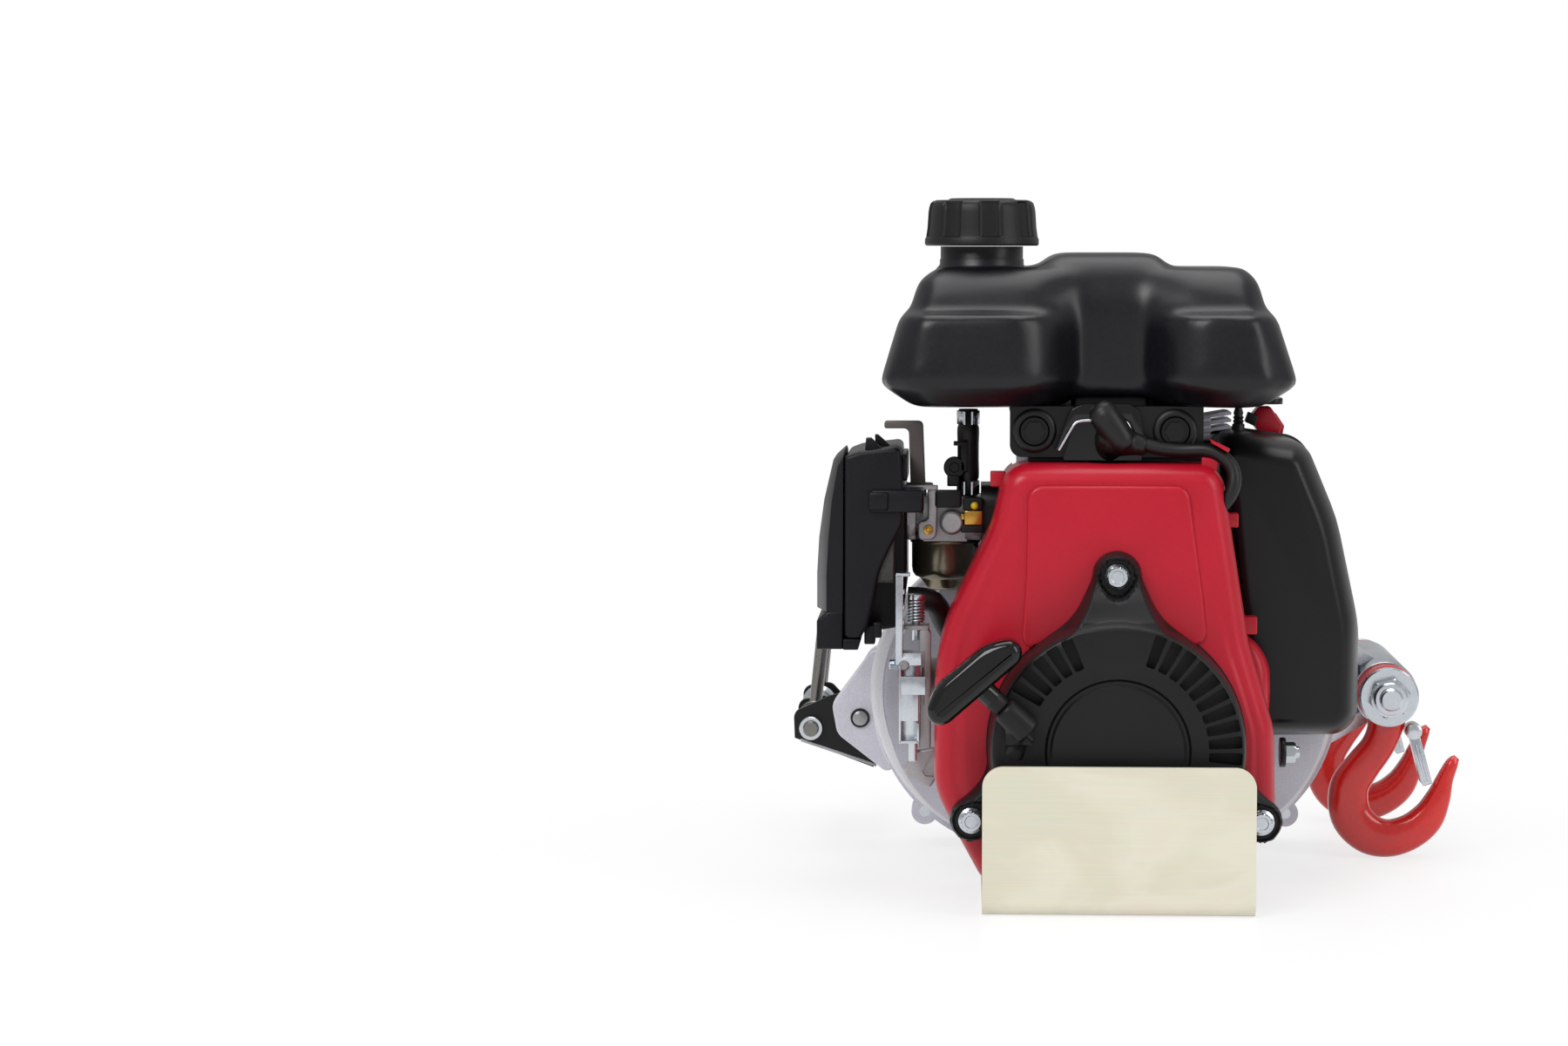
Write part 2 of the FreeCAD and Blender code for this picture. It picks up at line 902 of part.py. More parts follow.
def shroud_form(inset, front, rear):
    radii = [share * shroud_half_width for share in shroud_rounding_shares]
    wires = [wire_y(shroud_points(inset + shroud_inset), front, radii),
             wire_y(shroud_points(inset), shroud_shoulder, radii),
             wire_y(shroud_points(inset), rear, radii)]
    return Part.makeLoft(wires, True, True)


def fan_shroud():
    outer = shroud_form(0, shroud_front, shroud_rear)
    inner = shroud_form(shroud_wall, shroud_front + shroud_wall, shroud_rear + overrun)
    shell = outer.cut(inner)
    posts = []
    for i, (x, z) in enumerate(recoil_bolt_places()):
        seat = block_front if i == 0 else engine_front
        posts.append(cylinder_y(x, z, shroud_front, seat, post_radius if i == 0 else cover_ear_radius))
    shell = fuse([shell] + posts)
    cuts = [cylinder_y(0, crank_height, shroud_front - overrun, shroud_shoulder, shroud_mouth_radius)]
    for x, z in recoil_bolt_places():
        cuts.append(cylinder_y(x, z, shroud_front - overrun, shroud_front + bolt_grip,
                               bolt_radius + fit_gap))
    cuts.append(tube(lead_points, lead_radius + lead_room, "lead opening"))
    side = engine_width / 2 + seat_gap
    cuts.append(cylinder(vector(side, side_bolt_y, side_bolt_height), along_x, shroud_half_width,
                         bolt_radius + fit_gap))
    cuts.append(box(-side, side, engine_front - seat_gap, shroud_rear + overrun, 0, engine_top))
    room = grommet_x - grommet_middle_x + ear_radius + overrun
    cuts.append(box(-room, room, block_front - overrun, shroud_rear + overrun, engine_top,
                    shroud_top + overrun))
    plug_axis, plug_foot = plug_line()
    cuts.append(cylinder(plug_foot - plug_axis * plug_thread_length, plug_axis,
                         plug_length + plug_thread_length,
                         plug_hex_radius + shroud_wall + overrun))
    return shell.cut(fuse(cuts))


def recoil_cover():
    dish = turned_y([(0, cover_front), (cover_front_radius, cover_front),
                     (cover_rear_radius, shroud_front),
                     (0, shroud_front)], 0, crank_height, [0, cover_rounding, 0, 0])
    ear_front = shroud_front - ear_thickness
    pieces = [dish, cylinder_y(0, crank_height, cover_front - hub_raise, cover_front, hub_radius)]
    half = ear_root_width / 2
    for x, z in recoil_bolt_places():
        reach = vector(x, 0, z - crank_height)
        out = vector(reach).normalize()
        side = vector(-out.z, 0, out.x)
        centre = vector(0, 0, crank_height)
        inner = centre + out * (cover_rear_radius * ear_root_share)
        outer = centre + reach
        corners = [inner + side * half, outer + side * cover_ear_radius,
                   outer - side * cover_ear_radius,
                   inner - side * half]
        pieces.append(plate_y([(p.x, p.z) for p in corners], ear_front, shroud_front))
        pieces.append(cylinder_y(x, z, ear_front, shroud_front, cover_ear_radius))
    pull, eye = pull_line()
    pieces.append(cylinder_y(eye.x, eye.z, handle_y, cover_front + cover_wall, guide_radius))
    pieces.append(cylinder(eye - pull * guide_length / 2, pull, guide_length, guide_radius))
    cover = fuse(pieces)
    inside = turned_y([(0, cover_front + cover_wall),
                       (cover_front_radius - cover_wall, cover_front + cover_wall),
                       (cover_rear_radius - cover_wall, shroud_front + overrun),
                       (0, shroud_front + overrun)],
                      0, crank_height)
    post = cylinder_y(0, crank_height, cover_front, pulley_rear + pulley_rim, post_of_pulley)
    cover = fuse([cover.cut(inside), post])
    slot = box(slot_inner, slot_outer, cover_front - overrun, cover_front + cover_wall + overrun,
               crank_height - slot_width / 2, crank_height + slot_width / 2)
    cuts = [cylinder(eye - pull * guide_length, pull, guide_length * 2, cord_radius + seat_gap)]
    for start, count in ((right_slot_start, right_slots), (left_slot_start, left_slots)):
        for i in range(count):
            turned = slot.copy()
            turned.rotate(vector(0, 0, crank_height), along_y, -(start + slot_step_angle * i))
            cuts.append(turned)
    for x, z in recoil_bolt_places():
        cuts.append(cylinder_y(x, z, ear_front - overrun, shroud_front + overrun,
                               bolt_radius + fit_gap))
    return cover.cut(Part.makeCompound(cuts))


def pull_line():
    turn = math.radians(pull_angle)
    pull = vector(-math.cos(turn), 0, math.sin(turn))
    return pull, vector(guide_x, handle_y, crank_height + guide_rise)


def recoil_pulley():
    middle = (pulley_front + pulley_rear) / 2
    bore = post_of_pulley + running_gap
    profile = [(bore, pulley_front), (pulley_radius, pulley_front),
               (pulley_radius, pulley_front + pulley_rim),
               (pulley_groove, middle), (pulley_radius, pulley_rear - pulley_rim),
               (pulley_radius, pulley_rear),
               (bore, pulley_rear)]
    return turned_y(profile, 0, crank_height)


def starter_handle():
    half = handle_length / 2
    grip = plate_y([(-half, 0), (half, 0), (half, handle_height), (-half, handle_height)],
                   -handle_depth / 2, handle_depth / 2, handle_rounding)
    stem = turned_z([(0, handle_rounding), (stem_radius, handle_rounding), (stem_radius, 0),
                     (stem_tip_radius, -stem_length), (0, -stem_length)], 0, 0)
    handle = fuse([grip, stem])
    handle = handle.cut(cylinder(along_z * -(stem_length + overrun), along_z, stem_length + overrun,
                                 cord_radius + fit_gap))
    return place_on_pull(handle, guide_length / 2 + handle_gap + stem_length)


def place_on_pull(shape, distance):
    # Stands a piece made along +Z on the cord's line, that far out from the guide eye.
    pull, eye = pull_line()
    shape.rotate(vector(0, 0, 0), along_y, pull_angle - 90)
    shape.translate(eye + pull * distance)
    return shape


def starter_cord():
    length = guide_length + handle_gap + stem_length
    return place_on_pull(Part.makeCylinder(cord_radius, length), -guide_length / 2)


def flange_bolt(x, z, seat, grip):
    head = [cylinder_y(x, z, seat - bolt_flange_height, seat, bolt_flange_radius),
            plate_y(hexagon(x, z, bolt_hex_radius), seat - bolt_head_height, seat - bolt_flange_height),
            cylinder_y(x, z, seat, seat + grip, bolt_radius)]
    return fuse(head)


def flange_bolts():
    bolts = [flange_bolt(x, z, shroud_front - ear_thickness, ear_thickness + bolt_grip - overrun)
             for x, z in recoil_bolt_places()]
    seat = vector(side_bolt_x, side_bolt_y, side_bolt_height)
    head_start = side_bolt_x + side_washer_thickness
    hexagonal = plate_x(hexagon(side_bolt_y, side_bolt_height, bolt_hex_radius), head_start,
                        head_start + bolt_head_height)
    start = vector(engine_width / 2, side_bolt_y, side_bolt_height)
    end = head_start + bolt_head_height + side_tip_length
    shank = cylinder(start, along_x, end - start.x, bolt_radius)
    washer = cylinder(seat, along_x, side_washer_thickness, side_washer_radius)
    return bolts + [fuse([washer, hexagonal, shank])]


def tank_form(inset):
    levels = []
    height = tank_top - tank_bottom - 2 * inset
    for level, share in zip(tank_level_shares, tank_inset_shares):
        step = inset + share * tank_inset
        outline = rectangle(tank_left + step, tank_right - step, tank_front + step, tank_rear - step)
        levels.append(wire_z(outline, tank_bottom + inset + level * height, tank_corner - step / 2))
    body = Part.makeLoft(levels, True, True)
    mouth = valley_width / 2 + inset
    floor = valley_floor_width / 2 + inset
    depth = tank_front + valley_depth + inset
    valley = [(valley_x - mouth, tank_front - overrun), (valley_x + mouth, tank_front - overrun),
              (valley_x + floor, depth), (valley_x - floor, depth)]
    return body.cut(plate_z(valley, tank_bottom - overrun, tank_top + overrun))


def fuel_tank():
    wide = hump_width / 2
    slim = hump_top_width / 2
    low = tank_top - tank_wall / 2
    high = tank_top + hump_rise
    start = tank_front + valley_depth + hump_rise
    hump = plate_y([(valley_x - wide, low), (valley_x + wide, low), (valley_x + slim, high),
                    (valley_x - slim, high)],
                   start, start + hump_length)
    neck = cylinder(vector(neck_x, neck_y, tank_top - tank_wall), along_z, tank_wall + neck_rise,
                    neck_radius)
    spout = cylinder(vector(inlet_x, inlet_y, tank_bottom - outlet_drop), along_z,
                     outlet_drop + tank_wall, outlet_radius)
    tank = fuse([tank_form(0), hump, neck, spout]).cut(tank_form(tank_wall))
    mouth = cylinder(vector(neck_x, neck_y, tank_top - tank_wall * 2), along_z,
                     neck_rise + tank_wall * 3, neck_bore)
    drain = cylinder(vector(inlet_x, inlet_y, tank_bottom - outlet_drop - overrun), along_z,
                     outlet_drop + tank_wall + overrun * 2, outlet_radius / 2)
    return tank.cut(mouth).cut(drain)


def fuel_cap():
    low = tank_top + neck_rise
    high = low + cap_height
    wall = cap_radius - cap_skirt_radius
    profile = [(0, low - cap_plug_depth), (neck_bore - seat_gap, low - cap_plug_depth),
               (neck_bore - seat_gap, low),
               (cap_skirt_radius, low), (cap_radius, low + cap_skirt_height), (cap_radius, high),
               (cap_centre_radius + wall, high),
               (cap_centre_radius, high + cap_centre_rise), (0, high + cap_centre_rise)]
    cap = turned_z(profile, neck_x, neck_y, [0, 0, 0, 0, 0, cap_rounding, 0, 0, 0])
    flutes = []
    for i in range(cap_flute_count):
        x, y = polar(neck_x, neck_y, cap_radius + cap_flute_radius / 2, full_turn * i / cap_flute_count)
        flutes.append(cylinder(vector(x, y, low + cap_skirt_height), along_z, cap_height,
                               cap_flute_radius))
    return cap.cut(Part.makeCompound(flutes))


def grommet_rear():
    return bracket_front + (bracket_thickness + grommet_length) / 2


def grommet_places():
    return [(grommet_middle_x + side * grommet_x, ear_height) for side in (-1, 1)]


def tank_bracket():
    under = tank_bottom - bracket_thickness
    upright = plate_y(rectangle(bracket_left, bracket_right, bracket_low, tank_bottom), bracket_front,
                      bracket_front + bracket_thickness, [bracket_corner, bracket_corner, 0, 0])
    shelf = box(bracket_left, bracket_right, bracket_tongue_length, bracket_rear, under, tank_bottom)
    tongue_half = bracket_tongue_width / 2
    tongue = box(grommet_middle_x - tongue_half, grommet_middle_x + tongue_half, bracket_front,
                 bracket_tongue_length, under, tank_bottom)
    arm = plate_z(rectangle(0, bracket_arm_depth, bracket_rear - bracket_arm_width, bracket_rear), under,
                  tank_bottom,
                  [0, bracket_corner, bracket_corner, 0])
    bracket = fuse([upright, shelf, tongue, arm])
    plug_axis, plug_foot = plug_line()
    cuts = [cylinder(plug_foot, plug_axis, plug_length * 2, boot_radius + bracket_thickness * 2)]
    for x, z in grommet_places():
        cuts.append(cylinder_y(x, z, bracket_front - overrun,
                               bracket_front + bracket_thickness + overrun, grommet_neck))
    cuts.append(cylinder(vector(inlet_x, inlet_y, under - overrun), along_z, bracket_thickness * 3,
                         fuel_hose_radius * 2))
    return bracket.cut(Part.makeCompound(cuts))


def tank_grommets():
    middle = bracket_front + bracket_thickness / 2
    front = middle - grommet_length / 2
    rear = middle + grommet_length / 2
    lip_front = bracket_front - fit_gap
    lip_rear = bracket_front + bracket_thickness + fit_gap
    profile = [(grommet_bore + fit_gap, front), (grommet_radius, front), (grommet_radius, lip_front),
               (grommet_neck - fit_gap, lip_front), (grommet_neck - fit_gap, lip_rear),
               (grommet_radius, lip_rear),
               (grommet_radius, rear), (grommet_bore + fit_gap, rear)]
    return [turned_y(profile, x, z) for x, z in grommet_places()]


def tank_bolts():
    seat = grommet_rear() - grommet_length
    bolts = []
    for x, z in grommet_places():
        head = plate_y(hexagon(x, z, bolt_hex_radius), seat - bolt_head_height,
                       seat - bolt_flange_height)
        flange = cylinder_y(x, z, seat - bolt_flange_height, seat, bolt_flange_radius)
        shank = cylinder_y(x, z, seat, block_front + ear_depth, grommet_bore)
        bolts.append(fuse([head, flange, shank]))
    return bolts


def heat_shield():
    outer = [(shield_left, shield_low), (shield_shoulder_left, shield_top),
             (shield_shoulder_right, shield_top),
             (shield_right, ear_height)]
    inner = [(shield_right - shield_thickness, ear_height),
             (shield_shoulder_right - shield_thickness, shield_top - shield_thickness),
             (shield_shoulder_left + shield_thickness, shield_top - shield_thickness),
             (shield_left + shield_thickness, shield_low)]
    return plate_y(outer + inner, bracket_front - shield_depth, bracket_front)


def spark_plug():
    axis, foot = plug_line()
    hexagonal = Part.Face(Part.makePolygon([vector(x, y, 0) for x, y in hexagon(0, 0, plug_hex_radius)
                                            + hexagon(0, 0,
                                                      plug_hex_radius)[:1]])).extrude(along_z
                                                                                      * plug_hex_height)
    body = [hexagonal,
            cylinder(vector(0, 0, -plug_thread_length), along_z, plug_thread_length,
                     plug_thread_radius),
            cylinder(vector(0, 0, plug_hex_height), along_z, plug_length - plug_hex_height,
                     plug_insulator_radius)]
    plug = fuse(body)
    plug.Placement = FreeCAD.Placement(foot, FreeCAD.Rotation(along_z, axis))
    return plug


def plug_cap():
    axis, foot = plug_line()
    barrel = cylinder(foot + axis * boot_start, axis, boot_length, boot_radius)
    start = vector(*lead_points[0])
    run = (vector(*lead_points[1]) - start).normalize()
    arm = cylinder(start - run * boot_arm_length, run, boot_arm_length, boot_arm_radius)
    socket = cylinder(foot + axis * (boot_start - overrun), axis,
                      plug_length - boot_start + overrun + fit_gap,
                      plug_insulator_radius + fit_gap)
    return fuse([barrel, arm]).cut(socket)


def ignition_coil():
    half = coil_width / 2
    return plate_y(rectangle(coil_x - half, coil_x + half, coil_low, coil_low + coil_height),
                   coil_front, block_front,
                   coil_corner)


def carburettor_body():
    half_width = carb_flange_width / 2
    half_height = carb_flange_height / 2
    flange = rectangle(carb_y - half_width, carb_y + half_width, carb_height - half_height,
                       carb_height + half_height)
    half_block = carb_block_width / 2
    half_depth = carb_block_depth / 2
    pieces = [cylinder(vector(carb_left, carb_y, carb_height), along_x, carb_right - carb_left,
                       carb_throat_radius),
              plate_x(flange, carb_right - carb_flange_thickness, carb_right, carb_flange_corner),
              plate_x(flange, carb_left, carb_left + carb_flange_thickness / 2, carb_flange_corner),
              box(bowl_x - half_block, bowl_x + half_block, carb_y - half_depth, carb_y + half_depth,
                  bowl_top, carb_height + half_height),
              cylinder(vector(bowl_x, carb_y, bowl_top), along_z, carb_flange_thickness / 2,
                       bowl_radius),
              cylinder(vector(choke_x, carb_y, carb_height), along_z, carb_flange_height / 2,
                       choke_hub_radius),
              cylinder(vector(inlet_x, inlet_y, carb_height), along_z,
                       carb_flange_height / 2 + inlet_rise, inlet_radius)]
    body = fuse(pieces)
    bore = cylinder(vector(carb_left - overrun, carb_y, carb_height), along_x,
                    carb_right - carb_left + overrun * 2, carb_bore)
    socket = cylinder(vector(choke_x, carb_y, carb_height), along_z, carb_flange_height,
                      choke_stem_radius + running_gap)
    return body.cut(bore).cut(socket)


def float_bowl():
    low = bowl_top - bowl_height
    profile = [(0, low - sump_depth), (sump_radius / 2, low - sump_depth), (sump_radius, low),
               (bowl_radius, low),
               (bowl_radius, bowl_top), (0, bowl_top)]
    return turned_z(profile, bowl_x, carb_y, [0, 0, 0, bowl_rounding, 0, 0])


def intake_insulator():
    half_width = insulator_width / 2
    half_height = insulator_height / 2
    outline = rectangle(carb_y - half_width, carb_y + half_width, carb_height - half_height,
                        carb_height + half_height)
    block_side = -block_width / 2 - fin_reach
    body = plate_x(outline, carb_right, block_side, insulator_corner)
    return body.cut(cylinder(vector(carb_right - overrun, carb_y, carb_height), along_x,
                             block_side - carb_right + overrun * 2, carb_bore))


def choke_lever():
    low = choke_stem_top - choke_plate_thickness
    half = choke_arm_width / 2
    foot = carb_height + carb_bore + seat_gap
    end = choke_x - choke_arm_length
    pieces = [cylinder(vector(choke_x, carb_y, foot), along_z, low - foot, choke_stem_radius),
              cylinder(vector(choke_x, carb_y, low), along_z, choke_plate_thickness, choke_hub_radius),
              box(end, choke_x, carb_y - half, carb_y + half, low, choke_stem_top)]
    return fuse(pieces)


def fuel_hose_ends():
    return carb_height + carb_flange_height / 2 + seat_gap, tank_bottom - bracket_thickness - seat_gap


def breather_points():
    # Shares run from the crankcase's side to the air cleaner's back.
    side = -engine_width / 2
    reach = cleaner_right - side
    return [(side + share * reach, y, carb_height + rise)
            for share, (y, rise) in zip(breather_run_shares, breather_bends)]


def rubber_hoses():
    low, high = fuel_hose_ends()
    fuel = cylinder(vector(inlet_x, inlet_y, low), along_z, high - low, fuel_hose_radius)
    fuel = fuel.cut(cylinder(vector(inlet_x, inlet_y, low - overrun), along_z, high - low + overrun * 2,
                             inlet_radius + fuel_hose_gap))
    return [fuel, tube(breather_points(), breather_radius, "breather hose")]


def hose_clamps():
    low, high = fuel_hose_ends()
    clamps = []
    inner = fuel_hose_radius + fit_gap
    outer = inner + clamp_thickness
    for base in (low + clamp_thickness, high - clamp_thickness - clamp_width):
        band = cylinder(vector(inlet_x, inlet_y, base), along_z, clamp_width, outer)
        ears = box(inlet_x - clamp_end_gap / 2 - clamp_thickness,
                   inlet_x + clamp_end_gap / 2 + clamp_thickness,
                   inlet_y - outer - clamp_ear, inlet_y, base, base + clamp_width)
        gap = box(inlet_x - clamp_end_gap / 2, inlet_x + clamp_end_gap / 2,
                  inlet_y - outer - clamp_ear - overrun,
                  inlet_y, base - overrun, base + clamp_width + overrun)
        bore = cylinder(vector(inlet_x, inlet_y, base - overrun), along_z, clamp_width + overrun * 2,
                        inner)
        clamps.append(fuse([band, ears]).cut(gap).cut(bore))
    return clamps


def cleaner_block(left, right, inset):
    corner = cleaner_corner - inset
    outline = rectangle(cleaner_front + inset, cleaner_rear - inset, cleaner_bottom + inset,
                        cleaner_top - inset)
    return plate_x(outline, left, right, corner)


def cleaner_case_form(inset):
    mouth = cleaner_split - (overrun if inset else 0)
    side = [(mouth, cleaner_bottom + inset), (cleaner_foot - inset, cleaner_bottom + inset),
            (cleaner_right - inset, cleaner_shoulder), (cleaner_right - inset, cleaner_top - inset),
            (mouth, cleaner_top - inset)]
    return cleaner_block(mouth, cleaner_right - inset,
                         inset).common(plate_y(side, cleaner_front, cleaner_rear))


def cleaner_cover_form(inset):
    mouth = cleaner_split + (overrun if inset else 0)
    side = [(mouth, cleaner_bottom + inset), (mouth, cleaner_top - inset),
            (cleaner_left + cleaner_lean + foot_tab_reach + inset, cleaner_top - inset),
            (cleaner_left + foot_tab_reach + inset, cleaner_bottom + inset)]
    return cleaner_block(cleaner_left + inset, mouth,
                         inset).common(plate_y(side, cleaner_front, cleaner_rear))


def knuckles(first):
    # Round hinge lobes under the split line, the two halves side by side.
    lobes = []
    shift = 0 if first else knuckle_width + knuckle_gap
    for start in (knuckle_y, knuckle_y + knuckle_spread):
        y = start + shift
        lobe = cylinder_y(cleaner_split, cleaner_bottom - knuckle_radius, y, y + knuckle_width,
                          knuckle_radius)
        outer = cleaner_split + knuckle_radius if first else cleaner_split - knuckle_radius
        stem = box(min(outer, cleaner_split), max(outer, cleaner_split), y, y + knuckle_width,
                   cleaner_bottom - knuckle_radius, cleaner_bottom + cleaner_wall)
        lobes += [lobe, stem]
    return lobes


def air_cleaner_case():
    nipple_x, nipple_y, nipple_z = breather_points()[0]
    case = cleaner_case_form(0)
    nipple = cylinder(vector(cleaner_foot - cleaner_wall, nipple_y, nipple_z), along_x,
                      nipple_x - cleaner_foot + cleaner_wall, breather_radius)
    case = fuse([case] + knuckles(True) + [nipple]).cut(cleaner_case_form(cleaner_wall))
    return case.cut(cylinder(vector(cleaner_split, carb_y, carb_height), along_x,
                             cleaner_right - cleaner_split + overrun,
                             carb_bore))


def air_cleaner_cover():
    half = clip_width / 2
    middle = (cleaner_front + cleaner_rear) / 2
    foot_left = cleaner_left
    clip_left = cleaner_split - clip_height * 2
    pieces = [cleaner_cover_form(0),
              box(foot_left, foot_left + cleaner_corner, cleaner_front + cleaner_corner,
                  cleaner_rear - cleaner_corner,
                  cleaner_bottom, cleaner_bottom + foot_tab_height),
              box(clip_left, cleaner_split, middle - half, middle + half, cleaner_top - cleaner_wall,
                  cleaner_top + clip_height)]
    return fuse(pieces + knuckles(False)).cut(cleaner_cover_form(cleaner_wall))


def air_filter():
    inset = cleaner_wall + filter_gap
    outline = rectangle(cleaner_front + inset, cleaner_rear - inset, filter_low, cleaner_top - inset)
    return plate_x(outline, cleaner_split + filter_gap, cleaner_split + filter_depth,
                   cleaner_corner - inset)


def throttle_bracket():
    front = control_y
    back = control_y + control_thickness
    wall = control_right - control_thickness
    engine_side = -engine_width / 2
    pieces = [plate_y(rectangle(control_left, control_right, control_low, control_top), front, back,
                      control_corner),
              box(wall, control_right, front, control_back, control_foot_low, control_foot_high),
              box(wall, engine_side, control_back - control_thickness, control_back, control_foot_low,
                  control_foot_high),
              box(tab_left, control_right - control_corner, front, tab_rear,
                  control_top - tab_thickness, control_top),
              cylinder_y(pivot_x, pivot_height, front - pivot_reach, back, pivot_radius),
              plate_y(hexagon(pivot_x, pivot_height, pivot_nut_radius),
                      lever_front() - lever_gap - pivot_nut_height,
                      lever_front() - lever_gap)]
    hole = cylinder(vector(screw_x, screw_y, control_top - tab_thickness - overrun), along_z,
                    tab_thickness + overrun * 2, screw_radius + fit_gap)
    return fuse(pieces).cut(hole)


def lever_front():
    return control_y - lever_gap - lever_thickness


def throttle_lever():
    front = lever_front()
    back = front + lever_thickness
    half = lever_arm_width / 2
    top = box(-half, half, front, back, 0, lever_arm_length)
    top.rotate(vector(0, 0, 0), along_y, -lever_arm_lean)
    foot = box(-half, half, front, back, -lever_foot_length, 0)
    knob = cylinder_y(0, -lever_foot_length, back - lever_knob_thickness, back, lever_knob_radius)
    low = fuse([foot, knob])
    low.rotate(vector(0, 0, 0), along_y, -lever_foot_lean)
    hub = cylinder_y(0, 0, front, back, lever_hub)
    lever = fuse([top, low, hub])
    lever = lever.cut(cylinder_y(0, 0, front - overrun, back + overrun, pivot_radius + running_gap))
    lever.translate(vector(pivot_x, 0, pivot_height))
    return lever


def spring_end_heights():
    low = control_top + spring_wire + seat_gap
    return low, low + spring_turns * spring_pitch


def adjuster_screw():
    seat = spring_end_heights()[1] + spring_wire + seat_gap
    foot = control_top - tab_thickness - screw_reach
    shank = cylinder(vector(screw_x, screw_y, foot), along_z, seat - foot, screw_radius)
    head = cylinder(vector(screw_x, screw_y, seat), along_z, screw_head_height, screw_head_radius)
    return fuse([shank, head])


def spring_point(turn, low):
    angle = math.radians(full_turn * turn)
    place = vector(screw_x + spring_radius * math.cos(angle), screw_y + spring_radius * math.sin(angle),
                   low + spring_pitch * turn)
    heading = vector(-spring_radius * math.sin(angle), spring_radius * math.cos(angle),
                     spring_pitch / (2 * math.pi))
    return place, heading.normalize()


def arc_from(start, control, end):
    # The arc that leaves the start towards the control point and meets the end the same way.
    middle = (start + end) / 2
    toward = (control - middle).normalize()
    turn = (control - start).getAngle(end - control)
    rise = (end - start).Length / 2 * math.tan(turn / 4)
    return Part.Arc(start, middle + toward * rise, end).toShape()


def adjuster_spring():
    # One unbroken wire: two tangent arcs for each quarter turn.
    low = spring_end_heights()[0]
    edges = []
    for i in range(spring_turns * spring_arcs):
        start, leave = spring_point(i / spring_arcs, low)
        end, arrive = spring_point((i + 1) / spring_arcs, low)
        span = end - start
        both = leave + arrive
        lean = 2 * (1 - leave.dot(arrive))
        reach = (math.sqrt(span.dot(both) ** 2 + lean * span.dot(span)) - span.dot(both)) / lean
        first = start + leave * reach
        last = end - arrive * reach
        joint = (first + last) / 2
        edges += [arc_from(start, first, joint), arc_from(joint, last, end)]
    path = Part.Wire(edges)
    start, leave = spring_point(0, low)
    wire = path.makePipeShell([Part.Wire(Part.makeCircle(spring_wire, start, leave))], True, False)
    steps = [spring_point(i / spring_probes, low)[0] for i in range(spring_turns * spring_probes + 1)]
    gap = min(a.distanceToPoint(b) for i, a in enumerate(steps) for b in steps[i + spring_probes // 2:])
    print("adjuster spring least gap to itself", round(gap - 2 * spring_wire, 2))
    return wire


def guard_wire(inset):
    points = spread(guard_outline_shares, guard_left, guard_right - guard_left, guard_low,
                    guard_top - guard_low)
    outline = wire_y(points, guard_front, guard_rounding)
    return outline.makeOffset2D(-inset) if inset else outline


def muffler_body():
    drum = Part.Face(guard_wire(guard_wall + muffler_gap)).extrude(along_y
                                                                   * (muffler_rear - muffler_front))
    drum.translate(along_y * (muffler_front - guard_front))
    block_side = block_width / 2 + fin_reach
    port = cylinder(vector(block_side, carb_y, muffler_port_height), along_x,
                    muffler_port_end - block_side,
                    muffler_port_radius)
    spacer = cylinder_y(guard_spacer_x, guard_spacer_height, guard_front + guard_wall,
                        muffler_front + muffler_gap,
                        muffler_spacer_radius)
    return fuse([drum, port, spacer])


def muffler_guard():
    depth = along_y * (guard_rear - guard_front)
    outer = Part.Face(guard_wire(0)).extrude(depth)
    cave = Part.Face(guard_wire(guard_wall)).extrude(depth)
    cave.translate(along_y * guard_wall)
    room = muffler_port_radius + guard_wall
    gate = box(guard_left - overrun, muffler_port_end, carb_y - room, guard_rear + overrun,
               muffler_port_height - room,
               muffler_port_height + room)
    return outer.cut(cave).cut(gate)


def switch_top():
    return tank_bottom - bracket_thickness


def rocker_axis():
    return vector(switch_x, switch_y - switch_depth / 2, switch_top() - switch_height / 2)


def stop_switch():
    half = switch_width / 2
    deep = switch_depth / 2
    top = switch_top()
    body = plate_z(rectangle(switch_x - half, switch_x + half, switch_y - deep, switch_y + deep),
                   top - switch_height, top,
                   switch_corner)
    axis = rocker_axis()
    slot = rocker_width / 2 + rocker_slot_gap
    pocket = cylinder(axis - along_x * slot, along_x, slot * 2, rocker_radius + rocker_slot_gap)
    return body.cut(pocket)


def stop_rocker():
    half = rocker_width / 2
    axis = rocker_axis()
    return cylinder(axis - along_x * half, along_x, half * 2, rocker_radius)


def stadium(radius, front, rear):
    wide = shell_half_length + radius
    outline = rectangle(-wide, wide, shell_height - radius, shell_height + radius)
    return plate_y(outline, front, rear, radius)


def flange_bolt_places():
    left = [polar(-shell_half_length, shell_height, flange_bolt_circle_radius,
                  angle) for angle in flange_bolt_angles]
    return left + [(-x, z) for x, z in left]


def centre_distance(module, first, second):
    return module * (first + second) / 2


def side_shafts():
    # The two countershafts stand left of the crank axis, at the distances that their teeth ask for.
    first = centre_distance(first_module, first_pinion_teeth, first_gear_teeth)
    second = centre_distance(second_module, second_pinion_teeth, second_gear_teeth)
    final = centre_distance(final_module, final_pinion_teeth, final_gear_teeth)
    spread_angle = math.degrees(math.acos((first ** 2 + final ** 2 - second ** 2) / (2 * first
                                                                                     * final)))
    return (polar(0, crank_height, first, train_angle + spread_angle / 2),
            polar(0, crank_height, final, train_angle - spread_angle / 2))


def bearing_pockets(wall_side, depth_side):
    pockets = []
    for x, z in side_shafts():
        pockets.append(cylinder_y(x, z, wall_side, depth_side, side_bearing_radius + fit_gap))
    return pockets


def flange_holes():
    return [cylinder_y(x, z, split_y - flange_thickness - overrun, split_y + flange_thickness + overrun,
                       bolt_radius + fit_gap) for x, z in flange_bolt_places()]


